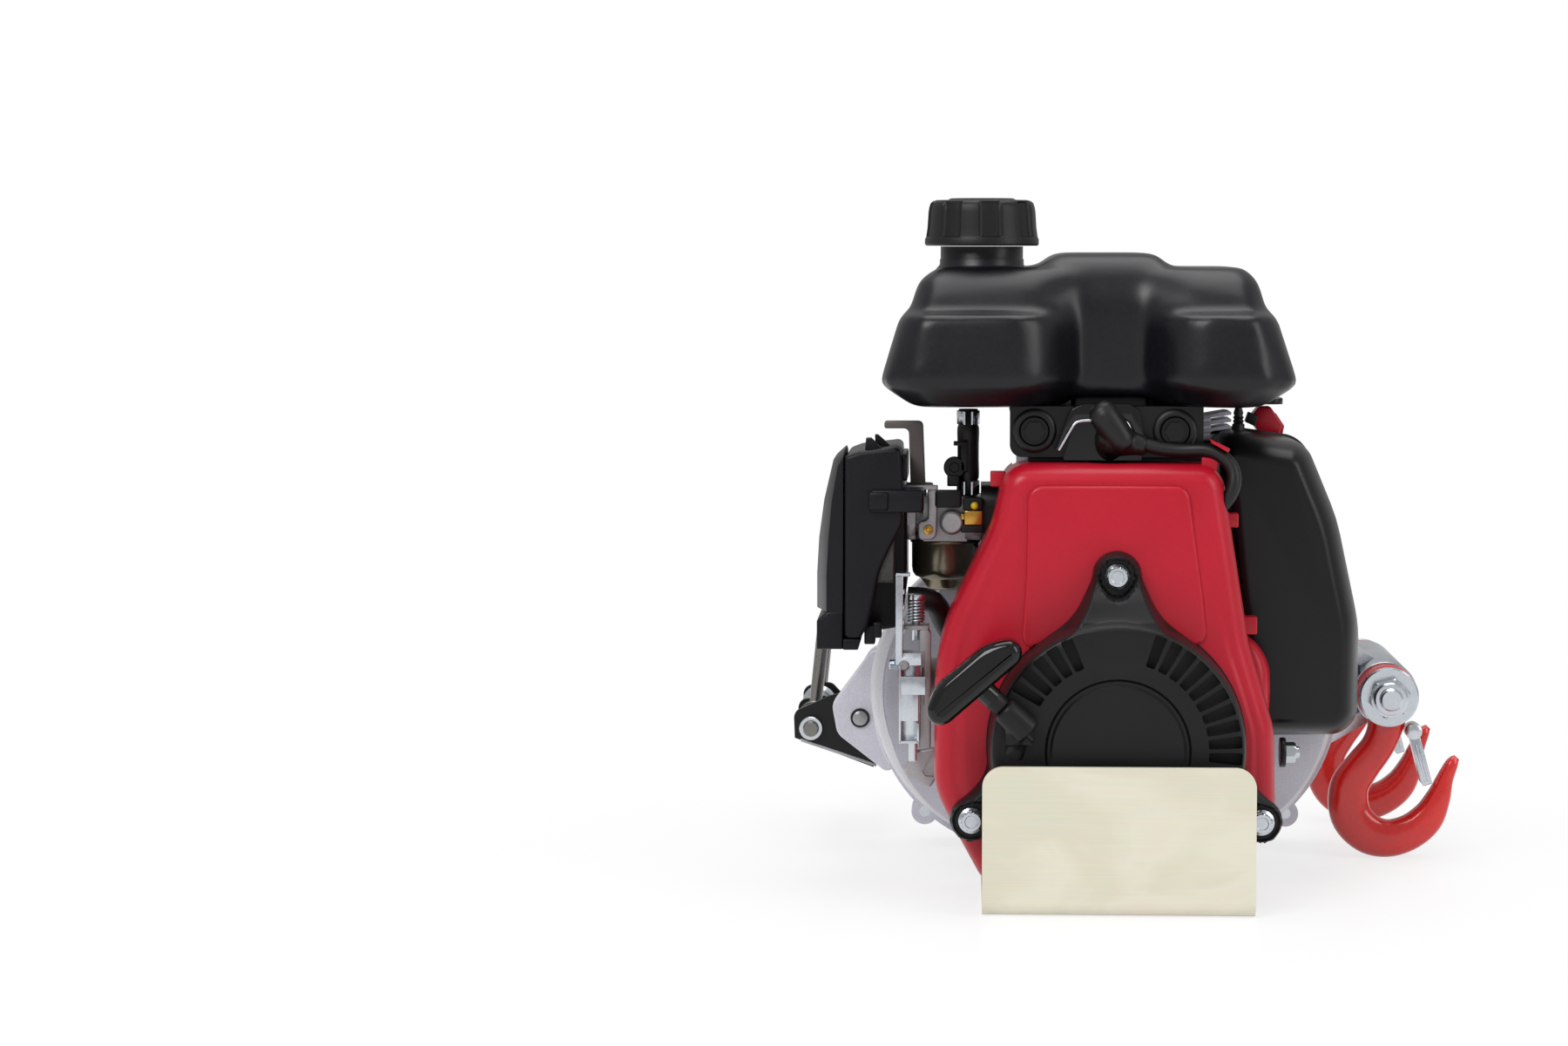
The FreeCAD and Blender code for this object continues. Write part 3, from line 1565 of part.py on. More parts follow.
def gear_housing():
    flange_front = split_y - flange_thickness
    pieces = [stadium(shell_radius, plate_front, split_y),
              stadium(flange_radius, flange_front, split_y),
              cylinder_y(0, crank_height, engine_rear, plate_front, clutch_house_radius)]
    pieces += [cylinder_y(x, z, flange_front, split_y, flange_boss_radius) for x,
               z in flange_bolt_places()]
    for angle in rib_angles:
        tip = shell_radius + overrun
        corners = [(clutch_cave_radius + overrun, engine_rear + rib_thickness),
                   (clutch_house_radius, engine_rear + rib_thickness),
                   (tip, plate_front), (clutch_cave_radius + overrun, plate_front)]
        rib = plate_z(corners, crank_height - rib_thickness / 2, crank_height + rib_thickness / 2)
        rib.rotate(vector(0, 0, crank_height), along_y, -angle)
        pieces.append(rib)
    body = fuse(pieces)
    cuts = [cylinder_y(0, crank_height, engine_rear - overrun, plate_front, clutch_cave_radius),
            stadium(shell_radius - shell_wall, web_rear, split_y + overrun),
            cylinder_y(0, crank_height, web_rear - input_bearing_width, web_rear + overrun,
                       input_bearing_radius + fit_gap),
            cylinder_y(0, crank_height, plate_front - overrun, web_rear, input_shaft_radius + overrun)]
    cuts += bearing_pockets(web_rear - side_bearing_width, web_rear + overrun)
    return body.cut(Part.makeCompound(cuts + flange_holes()))


def drum_bearing_rear():
    return wall_front + drum_bearing_width * drum_bearing_count


def gear_case():
    flange_rear = split_y + flange_thickness
    span = ear_lobe_x - ear_lobe_root
    lobe = [(ear_lobe_root + a * span, ear_lobe_height + b * ear_lobe_rise) for a, b in ear_lobe_shares]
    rounding = [0, ear_lobe_rounding, ear_lobe_rounding, ear_lobe_rounding, 0]
    pieces = [stadium(shell_radius, split_y, case_rear), stadium(flange_radius, split_y, flange_rear),
              plate_y(lobe, split_y, split_y + ear_lobe_thickness, rounding),
              cylinder_y(0, crank_height, case_rear, snout_rear, snout_radius)]
    pieces += [cylinder_y(x, z, split_y, flange_rear, flange_boss_radius) for x,
               z in flange_bolt_places()]
    body = fuse(pieces)
    cuts = [stadium(shell_radius - shell_wall, split_y - overrun, wall_front),
            cylinder_y(0, crank_height, wall_front - overrun, drum_bearing_rear(),
                       drum_bearing_radius + fit_gap),
            cylinder_y(0, crank_height, snout_rear - seal_width, snout_rear + overrun,
                       seal_radius + fit_gap),
            cylinder_y(0, crank_height, wall_front, snout_rear, drum_shaft_radius + overrun),
            cylinder_y(pin_x, pin_height, split_y - overrun, split_y + ear_lobe_thickness + overrun,
                       pin_radius + fit_gap)]
    cuts += bearing_pockets(wall_front - overrun, wall_front + side_bearing_width)
    return body.cut(Part.makeCompound(cuts + flange_holes()))


def housing_bolts():
    bolts = []
    for x, z in flange_bolt_places():
        bolt = flange_bolt(x, z, 0, flange_thickness * 2)
        bolt.rotate(vector(x, 0, z), along_z, full_turn / 2)
        bolt.translate(along_y * (split_y + flange_thickness))
        bolts.append(bolt)
    return bolts


def involute(angle):
    return math.tan(angle) - angle


def toothed(module, teeth, x, z, phase, front, width):
    # Stub involute spur gear blank; each flank is a few chords inside the true curve.
    pitch = module * teeth / 2
    base = pitch * math.cos(math.radians(gear_angle))
    tip = pitch + tooth_rise_share * module
    root = pitch - tooth_root_share * module
    low = max(base, root)
    thick = (math.pi * module / 2 - tooth_backlash) / (2 * pitch) + involute(math.radians(gear_angle))
    flank = []
    for i in range(flank_steps + 1):
        radius = low + (tip - low) * i / flank_steps
        flank.append((radius, thick - involute(math.acos(base / radius))))
    if root < low:
        flank.insert(0, (root, flank[0][1]))
    points = []
    for i in range(teeth):
        middle = phase + 2 * math.pi * i / teeth
        points += [(r, middle - a) for r, a in flank] + [(r, middle + a) for r, a in reversed(flank)]
    corners = [vector(x + r * math.cos(a), front, z + r * math.sin(a)) for r, a in points]
    return Part.Face(Part.makePolygon(corners + corners[:1])).extrude(along_y * width)


def heading(start, end):
    return math.atan2(end[1] - start[1], end[0] - start[0])


def mesh_phases(start, end, teeth):
    # A tooth of the first gear stands in a gap of the second, on their line of centres.
    angle = heading(start, end)
    return angle, angle + math.pi + math.pi / teeth


def gear_relief(x, z, module, teeth, front, width):
    rim = module * teeth / 2 * gear_rim_share
    depth = width * (1 - gear_web_share) / 2
    rings = [ring_y(x, z, front - overrun, front + depth, rim, gear_hub_radius),
             ring_y(x, z, front + width - depth, front + width + overrun, rim, gear_hub_radius)]
    return Part.makeCompound(rings)


def clutch_bell():
    first_shaft = side_shafts()[0]
    phase = mesh_phases((0, crank_height), first_shaft, first_gear_teeth)[0]
    inner = bell_radius - bell_wall
    floor = bell_rear - bell_wall
    end = first_mesh_front + first_mesh_width
    profile = [(0, floor), (inner, floor), (inner, bell_front), (bell_radius, bell_front),
               (bell_radius, bell_rear),
               (input_shaft_radius, bell_rear), (input_shaft_radius, web_rear),
               (input_neck_radius, web_rear),
               (input_neck_radius, end), (0, end)]
    pinion = toothed(first_module, first_pinion_teeth, 0, crank_height, phase, first_mesh_front,
                     first_mesh_width)
    return fuse([turned_y(profile, 0, crank_height), pinion])


def side_shaft(x, z):
    return cylinder_y(x, z, web_rear - side_bearing_width, wall_front + side_bearing_width,
                      side_shaft_radius)


def first_gear():
    (x, z), second = side_shafts()
    wheel_phase = mesh_phases((0, crank_height), (x, z), first_gear_teeth)[1]
    pinion_phase = mesh_phases((x, z), second, second_gear_teeth)[0]
    wheel = toothed(first_module, first_gear_teeth, x, z, wheel_phase, first_mesh_front,
                    first_mesh_width)
    wheel = wheel.cut(gear_relief(x, z, first_module, first_gear_teeth, first_mesh_front,
                                  first_mesh_width))
    pinion = toothed(second_module, second_pinion_teeth, x, z, pinion_phase, second_mesh_front,
                     second_mesh_width)
    return fuse([side_shaft(x, z), wheel, pinion])


def second_gear():
    first, (x, z) = side_shafts()
    wheel_phase = mesh_phases(first, (x, z), second_gear_teeth)[1]
    pinion_phase = mesh_phases((x, z), (0, crank_height), final_gear_teeth)[0]
    wheel = toothed(second_module, second_gear_teeth, x, z, wheel_phase, second_mesh_front,
                    second_mesh_width)
    wheel = wheel.cut(gear_relief(x, z, second_module, second_gear_teeth, second_mesh_front,
                                  second_mesh_width))
    pinion = toothed(final_module, final_pinion_teeth, x, z, pinion_phase, final_mesh_front,
                     final_mesh_width)
    return fuse([side_shaft(x, z), wheel, pinion])


def drum_shaft():
    second = side_shafts()[1]
    phase = mesh_phases(second, (0, crank_height), final_gear_teeth)[1]
    wheel = toothed(final_module, final_gear_teeth, 0, crank_height, phase, final_mesh_front,
                    final_mesh_width)
    shaft = cylinder_y(0, crank_height, drum_shaft_front, drum_seat_end, drum_shaft_radius)
    thread = cylinder_y(0, crank_height, drum_seat_end - drum_bolt_length, drum_seat_end + overrun,
                        drum_bolt_radius + fit_gap)
    return fuse([shaft, wheel]).cut(thread)


def bearings():
    rings = [ring_y(0, crank_height, web_rear - input_bearing_width, web_rear, input_bearing_radius,
                    input_shaft_radius + running_gap)]
    for x, z in side_shafts():
        for front in (web_rear - side_bearing_width, wall_front):
            rings.append(ring_y(x, z, front, front + side_bearing_width, side_bearing_radius,
                                side_shaft_radius + running_gap))
    for i in range(drum_bearing_count):
        front = wall_front + drum_bearing_width * i
        rings.append(ring_y(0, crank_height, front, front + drum_bearing_width, drum_bearing_radius,
                            drum_shaft_radius + running_gap))
    return rings


def shaft_seal():
    return ring_y(0, crank_height, snout_rear - seal_width, snout_rear, seal_radius,
                  drum_shaft_radius + running_gap)


def clutch_hub():
    waist = hub_waist / 2
    arms = box(-hub_arm_radius, hub_arm_radius, hub_front, crank_tail, crank_height - waist,
               crank_height + waist)
    disc = cylinder_y(0, crank_height, hub_front, crank_tail, hub_arm_radius)
    bore = cylinder_y(0, crank_height, hub_front - overrun, crank_tail + overrun, tail_radius + fit_gap)
    return disc.common(arms).cut(bore)


def clutch_shoes():
    shoes = []
    ring = ring_y(0, crank_height, shoe_front, shoe_rear, shoe_outer, hub_arm_radius + seat_gap)
    for side in (-1, 1):
        low = shoe_split / 2 if side > 0 else -shoe_outer - overrun
        high = shoe_outer + overrun if side > 0 else -shoe_split / 2
        half = box(-shoe_outer - overrun, shoe_outer + overrun, shoe_front - overrun,
                   shoe_rear + overrun,
                   crank_height + low, crank_height + high)
        shoes.append(ring.common(half))
    return shoes


def capstan_drum():
    seat = drum_shaft_radius + fit_gap
    waist_y = drum_front + (drum_rear - drum_front) * drum_waist_share
    profile = [(seat, drum_front), (drum_flange_radius, drum_front),
               (drum_flange_radius, drum_front + drum_flange_width),
               (drum_waist_radius, waist_y), (drum_lip_radius, drum_rear - drum_lip_width),
               (drum_lip_radius, drum_rear),
               (drum_recess_radius, drum_rear), (drum_recess_radius, drum_seat_end),
               (seat, drum_seat_end)]
    blank = [vector(r, y, crank_height) for r, y in profile]
    belly = Part.Arc(blank[2], blank[3], blank[4]).toShape()
    lines = [Part.LineSegment(a, b).toShape() for a, b in zip(blank[:2], blank[1:3])]
    rest = blank[4:] + blank[:1]
    lines += [belly] + [Part.LineSegment(a, b).toShape() for a, b in zip(rest, rest[1:])]
    return Part.Face(Part.Wire(lines)).revolve(vector(0, 0, crank_height), along_y, full_turn)


def drum_bolt():
    seat = drum_seat_end + drum_washer_thickness
    washer = cylinder_y(0, crank_height, drum_seat_end, seat, drum_washer_radius)
    head = plate_y(hexagon(0, crank_height, drum_bolt_head_radius), seat, seat + drum_bolt_head_height)
    shank = cylinder_y(0, crank_height, drum_seat_end - drum_bolt_length + overrun, drum_seat_end,
                       drum_bolt_radius)
    return fuse([washer, head, shank])


def guide_points(shares):
    return spread(shares, guide_left, guide_right - guide_left, guide_low, guide_high - guide_low)


def rope_guide():
    front = split_y + ear_lobe_thickness
    outline = guide_points(guide_outline_shares)
    cheek = guide_points(guide_cheek_shares)
    left = [a + tray_start_share * (b - a) for a, b in zip(outline[0], outline[1])]
    right = outline[1]
    slope = math.hypot(right[0] - left[0], right[1] - left[1])
    up = (-(right[1] - left[1]) / slope * tray_thickness, (right[0] - left[0]) / slope * tray_thickness)
    tray = [left, right, (right[0] + up[0], right[1] + up[1]), (left[0] + up[0], left[1] + up[1])]
    sharp_foot = [0, 0] + [guide_rounding] * (len(outline) - 2)
    sharp_cheek = [0, 0] + [guide_rounding] * (len(cheek) - 2)
    pieces = [plate_y(outline, front, front + guide_plate, sharp_foot), plate_y(tray, front, guide_rear),
              plate_y(cheek, guide_mid_front, guide_mid_front + guide_plate, sharp_cheek),
              plate_y(cheek, guide_rear - guide_plate, guide_rear, sharp_cheek)]
    guide = fuse(pieces)
    cuts = [cylinder_y(pin_x, pin_height, front - overrun, front + guide_plate + overrun,
                       pin_radius + fit_gap),
            cylinder_y(roller_x, roller_height, front - overrun, guide_rear + overrun,
                       roller_bolt_radius + fit_gap)]
    return guide.cut(Part.makeCompound(cuts))


def rope_roller():
    front = guide_mid_front + guide_plate + roller_end_gap
    rear = guide_rear - guide_plate - roller_end_gap
    bore = roller_bolt_radius + roller_bore_gap
    shoulder = roller_radius - roller_waist
    profile = [(bore, front), (roller_radius, front), (roller_radius, front + shoulder),
               (roller_waist, front + shoulder * 2),
               (roller_waist, rear - shoulder * 2), (roller_radius, rear - shoulder),
               (roller_radius, rear), (bore, rear)]
    return turned_y(profile, roller_x, roller_height)


def guide_pins():
    ear_rear = split_y + ear_lobe_thickness
    pin = fuse([cylinder_y(pin_x, pin_height, split_y, ear_rear + guide_plate, pin_radius),
                cylinder_y(pin_x, pin_height, split_y - pin_head_height, split_y, pin_head_radius),
                cylinder_y(pin_x, pin_height, ear_rear + guide_plate,
                           ear_rear + guide_plate + pin_head_height,
                           pin_head_radius)])
    eye_front = guide_mid_front - rod_eye_depth
    eye_rear = guide_rear + rod_eye_depth
    bolt = cylinder_y(roller_x, roller_height, ear_rear, eye_rear + roller_hex_height,
                      roller_bolt_radius)
    head = hexagon(roller_x, roller_height, roller_hex_radius)
    ends = [plate_y(head, ear_rear - roller_hex_height, ear_rear),
            plate_y(head, eye_rear + fit_gap, eye_rear + roller_hex_height)]
    bore = roller_bolt_radius + fit_gap
    eyes = [ring_y(roller_x, roller_height, eye_front, guide_mid_front - fit_gap, rod_eye_radius,
                   bore),
            ring_y(roller_x, roller_height, guide_rear + fit_gap, eye_rear, rod_eye_radius, bore)]
    front = guide_mid_front - rod_eye_depth / 2
    rear = guide_rear + rod_eye_depth / 2
    rod = tube([(rod_foot_x, front, rod_low), (rod_top_x, front, rod_top), (rod_top_x, rear, rod_top),
                (rod_foot_x, rear, rod_low)], rod_radius, "keeper rod")
    return [pin, fuse([ends[0], bolt, ends[1]]), fuse(eyes + [rod])]


def anchor_bracket():
    front = strut_front
    high = anchor_height + sleeve_radius
    low = anchor_height - sleeve_radius
    upper = [(strut_top_x, strut_top_height), (anchor_x, high), (anchor_x, high - strut_thickness),
             (strut_top_x, strut_top_height - strut_thickness)]
    lower = [(strut_low_x, strut_low_height), (anchor_x, low), (anchor_x, low + strut_thickness),
             (strut_low_x, strut_low_height + strut_thickness)]
    gusset = [upper[0], (anchor_x, high), (anchor_x, low), lower[0]]
    half = brace_height / 2
    brace = [(brace_root, strut_rear - strut_thickness), (anchor_x, strut_rear - strut_thickness),
             (anchor_x, brace_rear),
             (anchor_x - sleeve_radius, brace_rear)]
    pieces = [plate_y(upper, front, strut_rear), plate_y(lower, front, strut_rear),
              plate_y(gusset, strut_rear - strut_thickness, strut_rear),
              plate_z(brace, anchor_height - half, anchor_height + half),
              cylinder_y(anchor_x, anchor_height, sleeve_front, sleeve_rear, sleeve_radius)]
    bracket = fuse(pieces)
    seat = cylinder_y(shell_half_length, shell_height, split_y - overrun, case_rear + overrun,
                      shell_radius + seat_gap)
    bore = cylinder_y(anchor_x, anchor_height, sleeve_front - overrun, sleeve_rear + overrun,
                      anchor_bolt_radius + fit_gap)
    return bracket.cut(seat).cut(bore)


def hook_fronts():
    # Front faces of the two hooks, one at each end of the sleeve, a washer between.
    return (sleeve_front - anchor_washer_thickness - hook_thickness,
            sleeve_rear + anchor_washer_thickness)


def anchor_bolt():
    front, rear = hook_fronts()
    tip = front - anchor_washer_thickness - anchor_nut_height - anchor_bolt_tip
    seat = rear + hook_thickness + anchor_washer_thickness
    head = plate_y(hexagon(anchor_x, anchor_height, anchor_nut_radius), seat, seat + anchor_head_height)
    bolt = fuse([cylinder_y(anchor_x, anchor_height, tip, seat, anchor_bolt_radius), head])
    places = [front - anchor_washer_thickness, sleeve_front - anchor_washer_thickness, sleeve_rear,
              seat - anchor_washer_thickness]
    bore = anchor_bolt_radius + fit_gap
    washers = [ring_y(anchor_x, anchor_height, y, y + anchor_washer_thickness, anchor_washer_radius,
                      bore) for y in places]
    nut_front = front - anchor_washer_thickness - anchor_nut_height
    nut = plate_y(hexagon(anchor_x, anchor_height, anchor_nut_radius), nut_front,
                  nut_front + anchor_nut_height)
    nut = nut.cut(cylinder_y(anchor_x, anchor_height, nut_front - overrun,
                             nut_front + anchor_nut_height + overrun, bore))
    return [bolt, nut] + washers


def hook_outline(front):
    def at(x, z, radius, angle):
        a, b = polar(x, z, radius, angle)
        return vector(a, front, b)

    inner_height = hook_bowl_height + hook_inner_rise
    eye_left = at(anchor_x, anchor_height, hook_eye_radius, hook_eye_angles[0])
    eye_top = at(anchor_x, anchor_height, hook_eye_radius, 90)
    eye_right = at(anchor_x, anchor_height, hook_eye_radius, hook_eye_angles[1])
    throat = at(hook_bowl_x, inner_height, hook_inner, hook_throat_angle)
    bowl = at(hook_bowl_x, inner_height, hook_inner, 270)
    tip_inner = at(hook_bowl_x, inner_height, hook_inner, hook_tip_angle)
    tip_outer = at(hook_bowl_x, hook_bowl_height, hook_outer, hook_tip_angle)
    across = tip_outer - tip_inner
    crown = (tip_inner + tip_outer + vector(-across.z, 0, across.x)) / 2
    sole = at(hook_bowl_x, hook_bowl_height, hook_outer, 270)
    back = at(hook_bowl_x, hook_bowl_height, hook_outer, hook_back_angle)
    edges = [Part.Arc(eye_left, eye_top, eye_right), Part.LineSegment(eye_right, throat),
             Part.Arc(throat, bowl, tip_inner), Part.Arc(tip_inner, crown, tip_outer),
             Part.Arc(tip_outer, sole, back), Part.LineSegment(back, eye_left)]
    return Part.Wire([edge.toShape() for edge in edges])


def hook(front):
    rear = front + hook_thickness
    body = Part.Face(hook_outline(front)).extrude(along_y * hook_thickness)
    rim = [edge for edge in body.Edges
           if abs(edge.BoundBox.YLength) < point_tolerance and edge.CenterOfMass.z < anchor_height]
    body = body.makeChamfer(hook_rounding, rim)
    middle = (front + rear) / 2
    half = latch_lug_thickness / 2
    lug = cylinder_y(latch_pivot_x, latch_pivot_height, middle - half, middle + half, latch_lug_radius)
    root = [(latch_pivot_x, latch_pivot_height - latch_lug_radius),
            (latch_pivot_x, latch_pivot_height + latch_lug_radius),
            (anchor_x, latch_pivot_height + latch_lug_radius),
            (anchor_x, latch_pivot_height - latch_lug_radius)]
    web = plate_y(root, middle - half, middle + half)
    pin = cylinder_y(latch_pivot_x, latch_pivot_height, middle - latch_pin_length / 2,
                     middle + latch_pin_length / 2,
                     latch_pin_radius)
    eye = cylinder_y(anchor_x, anchor_height, front - overrun, rear + overrun,
                     anchor_bolt_radius + running_gap)
    return fuse([body, lug, web, pin]).cut(eye)


def latch(front):
    middle = front + hook_thickness / 2
    inner = latch_lug_thickness / 2 + latch_cheek_gap
    outer = inner + latch_cheek
    half = latch_width / 2
    pieces = [plate_y(rectangle(-half, half, -latch_length, -latch_web_start), middle - outer,
                      middle + outer)]
    for y0, y1 in ((middle - outer, middle - inner), (middle + inner, middle + outer)):
        pieces.append(cylinder_y(0, 0, y0, y1, latch_hub_radius))
        pieces.append(plate_y(rectangle(-half, half, -latch_web_start, 0), y0, y1))
    bore = cylinder_y(0, 0, middle - outer - overrun, middle + outer + overrun,
                      latch_pin_radius + running_gap)
    piece = fuse(pieces).cut(bore)
    piece.rotate(vector(0, 0, 0), along_y, -latch_lean)
    piece.translate(vector(latch_pivot_x, 0, latch_pivot_height))
    return piece


os.makedirs("parts", exist_ok=True)
front_hook_front, rear_hook_front = hook_fronts()
save("front_foot", front_foot())
save("crankcase", crankcase())
save("cylinder_block", cylinder_block())
save("crankshaft", crankshaft())
save("flywheel_fan", flywheel_fan())
save("fan_shroud", fan_shroud())
save("recoil_cover", recoil_cover())
save("recoil_pulley", recoil_pulley())
save("starter_handle", starter_handle())
save("starter_cord", starter_cord())
save("flange_bolts", flange_bolts())
save("fuel_tank", fuel_tank())
save("fuel_cap", fuel_cap())
save("tank_bracket", tank_bracket())
save("tank_grommets", tank_grommets())
save("tank_bolts", tank_bolts())
save("heat_shield", heat_shield())
save("spark_plug", spark_plug())
save("plug_cap", plug_cap())
save("ignition_lead", tube(lead_points, lead_radius, "ignition lead"))
save("ignition_coil", ignition_coil())
save("carburettor_body", carburettor_body())
save("float_bowl", float_bowl())
save("intake_insulator", intake_insulator())
save("choke_lever", choke_lever())
save("rubber_hoses", rubber_hoses())
save("hose_clamps", hose_clamps())
save("air_cleaner_case", air_cleaner_case())
save("air_cleaner_cover", air_cleaner_cover())
save("air_filter", air_filter())
save("throttle_bracket", throttle_bracket())
save("throttle_lever", throttle_lever())
save("adjuster_screw", adjuster_screw())
save("adjuster_spring", adjuster_spring())
save("muffler_body", muffler_body())
save("muffler_guard", muffler_guard())
save("stop_switch", stop_switch())
save("stop_rocker", stop_rocker())
save("gear_housing", gear_housing())
save("gear_case", gear_case())
save("housing_bolts", housing_bolts())
save("clutch_hub", clutch_hub())
save("clutch_shoes", clutch_shoes())
save("clutch_bell", clutch_bell())
save("first_gear", first_gear())
save("second_gear", second_gear())
save("drum_shaft", drum_shaft())
save("bearings", bearings())
save("shaft_seal", shaft_seal())
save("capstan_drum", capstan_drum())
save("drum_bolt", drum_bolt())
save("rope_guide", rope_guide())
save("rope_roller", rope_roller())
save("guide_pins", guide_pins())
save("anchor_bracket", anchor_bracket())
save("anchor_bolt", anchor_bolt())
save("front_hook", hook(front_hook_front))
save("rear_hook", hook(rear_hook_front))
save("front_latch", latch(front_hook_front))
save("rear_latch", latch(rear_hook_front))
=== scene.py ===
import bmesh
import bpy
import math
from mathutils import Matrix, Vector


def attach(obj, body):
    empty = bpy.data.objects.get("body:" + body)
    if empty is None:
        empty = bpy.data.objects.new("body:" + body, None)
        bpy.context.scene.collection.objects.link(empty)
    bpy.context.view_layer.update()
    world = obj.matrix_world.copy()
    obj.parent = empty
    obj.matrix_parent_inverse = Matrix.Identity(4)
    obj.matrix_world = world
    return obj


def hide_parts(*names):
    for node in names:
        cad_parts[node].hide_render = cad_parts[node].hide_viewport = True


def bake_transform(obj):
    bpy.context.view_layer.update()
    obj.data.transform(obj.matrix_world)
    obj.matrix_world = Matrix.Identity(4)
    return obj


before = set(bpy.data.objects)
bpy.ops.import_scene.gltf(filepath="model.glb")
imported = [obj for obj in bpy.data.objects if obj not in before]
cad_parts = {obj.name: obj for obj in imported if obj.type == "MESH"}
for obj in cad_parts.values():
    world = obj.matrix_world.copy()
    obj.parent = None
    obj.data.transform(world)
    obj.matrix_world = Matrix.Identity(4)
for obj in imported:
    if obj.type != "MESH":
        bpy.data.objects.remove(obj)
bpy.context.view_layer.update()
mm = 0.001


def linear(hexCode, alpha=1.0):
    parts = [int(hexCode[i:i + 2], 16) / 255 for i in (1, 3, 5)]
    return tuple(p / 12.92 if p <= 0.04045 else ((p + 0.055) / 1.055) ** 2.4 for p in parts) + (alpha,)


def addNode(tree, kind, settings=None, links=None):
    made = tree.nodes.new(kind)
    for key, value in (settings or {}).items():
        if isinstance(key, str) and hasattr(made, key):
            setattr(made, key, value)
        else:
            made.inputs[key].default_value = value
    for key, source in (links or {}).items():
        tree.links.new(source, made.inputs[key])
    return made


def setRamp(made, stops):
    ramp = made.color_ramp
    while len(ramp.elements) < len(stops):
        ramp.elements.new(0.5)
    for element, (place, colour) in zip(ramp.elements, stops):
        element.position = place
        element.color = linear(colour)


# what all finishes share: cloud size in millimetres, its part in the mix, and the ends of tone and gloss
mottle = {"cloud": 28, "mix": 0.45, "tones": (0.36, 0.64), "gloss": (0.3, 0.7), "relief": 0.6}


# the shader's inputs by short names
shaderInputs = {"ior": "IOR", "specular": "Specular IOR Level", "metallic": "Metallic", "coat": "Coat Weight",
                "coatRough": "Coat Roughness"}


def finish(name, low, high, rough, grain, bump=0.0, **sockets):
    # low and high are the two tones, rough the span of roughness, grain and bump are in millimetres
    made = bpy.data.materials.new(name)
    made.use_nodes = True
    tree = made.node_tree
    shader = tree.nodes["Principled BSDF"]
    for key, value in sockets.items():
        shader.inputs[shaderInputs[key]].default_value = value
    place = addNode(tree, "ShaderNodeTexCoord").outputs["Object"]
    fine = {"Scale": 1 / (grain * mm), "Detail": 4.0, "Roughness": 0.6}
    speckle = addNode(tree, "ShaderNodeTexNoise", fine, {"Vector": place})
    coarse = {"Scale": 1 / (mottle["cloud"] * mm), "Detail": 3.0}
    cloud = addNode(tree, "ShaderNodeTexNoise", coarse, {"Vector": place})
    both = addNode(tree, "ShaderNodeMix", {"Factor": mottle["mix"]},
                   {2: speckle.outputs["Fac"], 3: cloud.outputs["Fac"]})
    tone = addNode(tree, "ShaderNodeValToRGB", None, {"Fac": both.outputs[0]})
    setRamp(tone, list(zip(mottle["tones"], (low, high))))
    least, most = mottle["gloss"]
    span = {"From Min": least, "From Max": most, "To Min": rough[0], "To Max": rough[1]}
    gloss = addNode(tree, "ShaderNodeMapRange", span, {"Value": both.outputs[0]})
    tree.links.new(tone.outputs["Color"], shader.inputs["Base Color"])
    tree.links.new(gloss.outputs["Result"], shader.inputs["Roughness"])
    if bump:
        relief = addNode(tree, "ShaderNodeBump", {"Strength": mottle["relief"], "Distance": bump * mm},
                         {"Height": speckle.outputs["Fac"]})
        tree.links.new(relief.outputs["Normal"], shader.inputs["Normal"])
    return made


# HDPE, blow moulded: soft satin black with faint orange peel and cloudy gloss
hdpeTank = finish("hdpeBlowMoulded", "#0b0a0e", "#121117", (0.28, 0.38), 1.8, 0.03, ior=1.5, specular=0.36)
# glass-filled nylon, injection moulded: charcoal with a fine spark-eroded grain
nylonCover = finish("nylonSparkGrain", "#0f0f10", "#151517", (0.36, 0.48), 0.8, 0.04, ior=1.5, specular=0.28)
# polished nylon, same resin from a polished tool: near black, mirror-like edges
nylonGloss = finish("nylonPolished", "#050506", "#09090a", (0.1, 0.16), 2.0, 0.0, ior=1.52, specular=0.4)
# polypropylene, injection moulded: blue-black, dull satin
ppCleaner = finish("polypropyleneSatin", "#101014", "#17171c", (0.32, 0.42), 0.9, 0.03, ior=1.49,
                   specular=0.2)
# red ABS, injection moulded: even cherry red, low gloss with a slight peel
absRed = finish("absCherryRed", "#a80d23", "#b30f27", (0.3, 0.38), 1.2, 0.02, ior=1.5, specular=0.35)
# powder coat over forged steel: thick wet red, wavy gloss
coatRed = finish("powderCoatRed", "#bf1712", "#d01c15", (0.16, 0.26), 2.4, 0.1, ior=1.5, coat=0.4,
                 coatRough=0.08)
# electro-dip paint on pressed steel: smooth satin black
dipBlack = finish("dipPaintSatin", "#0a0a0c", "#101013", (0.28, 0.36), 1.1, 0.02, ior=1.5, specular=0.3)
# nitrile rubber, extruded: dull black with talc bloom
rubberBlack = finish("nitrileRubber", "#0c0c0d", "#151516", (0.36, 0.5), 0.8, 0.04, ior=1.52, specular=0.35)
# aluminium, die cast and shot blasted: light grey with dark pores
castGrey = finish("aluminiumDieCast", "#c1c0ca", "#d7d6e0", (0.44, 0.56), 0.9, 0.06, metallic=0.25)
# the same casting, brighter and smoother: a painted highlight for the flange's rolled edge where it catches
# the light
castPaintedHighlight = finish("aluminiumCastPaintedHighlight", "#d6d6da", "#e6e6ea", (0.3, 0.4), 0.9, 0.03, metallic=0.25)
# aluminium, machined casting of the carburettor: darker and tighter than the blasted case
castPale = finish("aluminiumZincCast", "#979699", "#b7b6b8", (0.32, 0.44), 0.7, 0.05, metallic=0.6)
# steel, clear zinc plated: cool white metal with soft streaks
zincClear = finish("zincClearPlated", "#c0c6ce", "#d2d7dc", (0.2, 0.3), 2.6, 0.008, metallic=1.0)
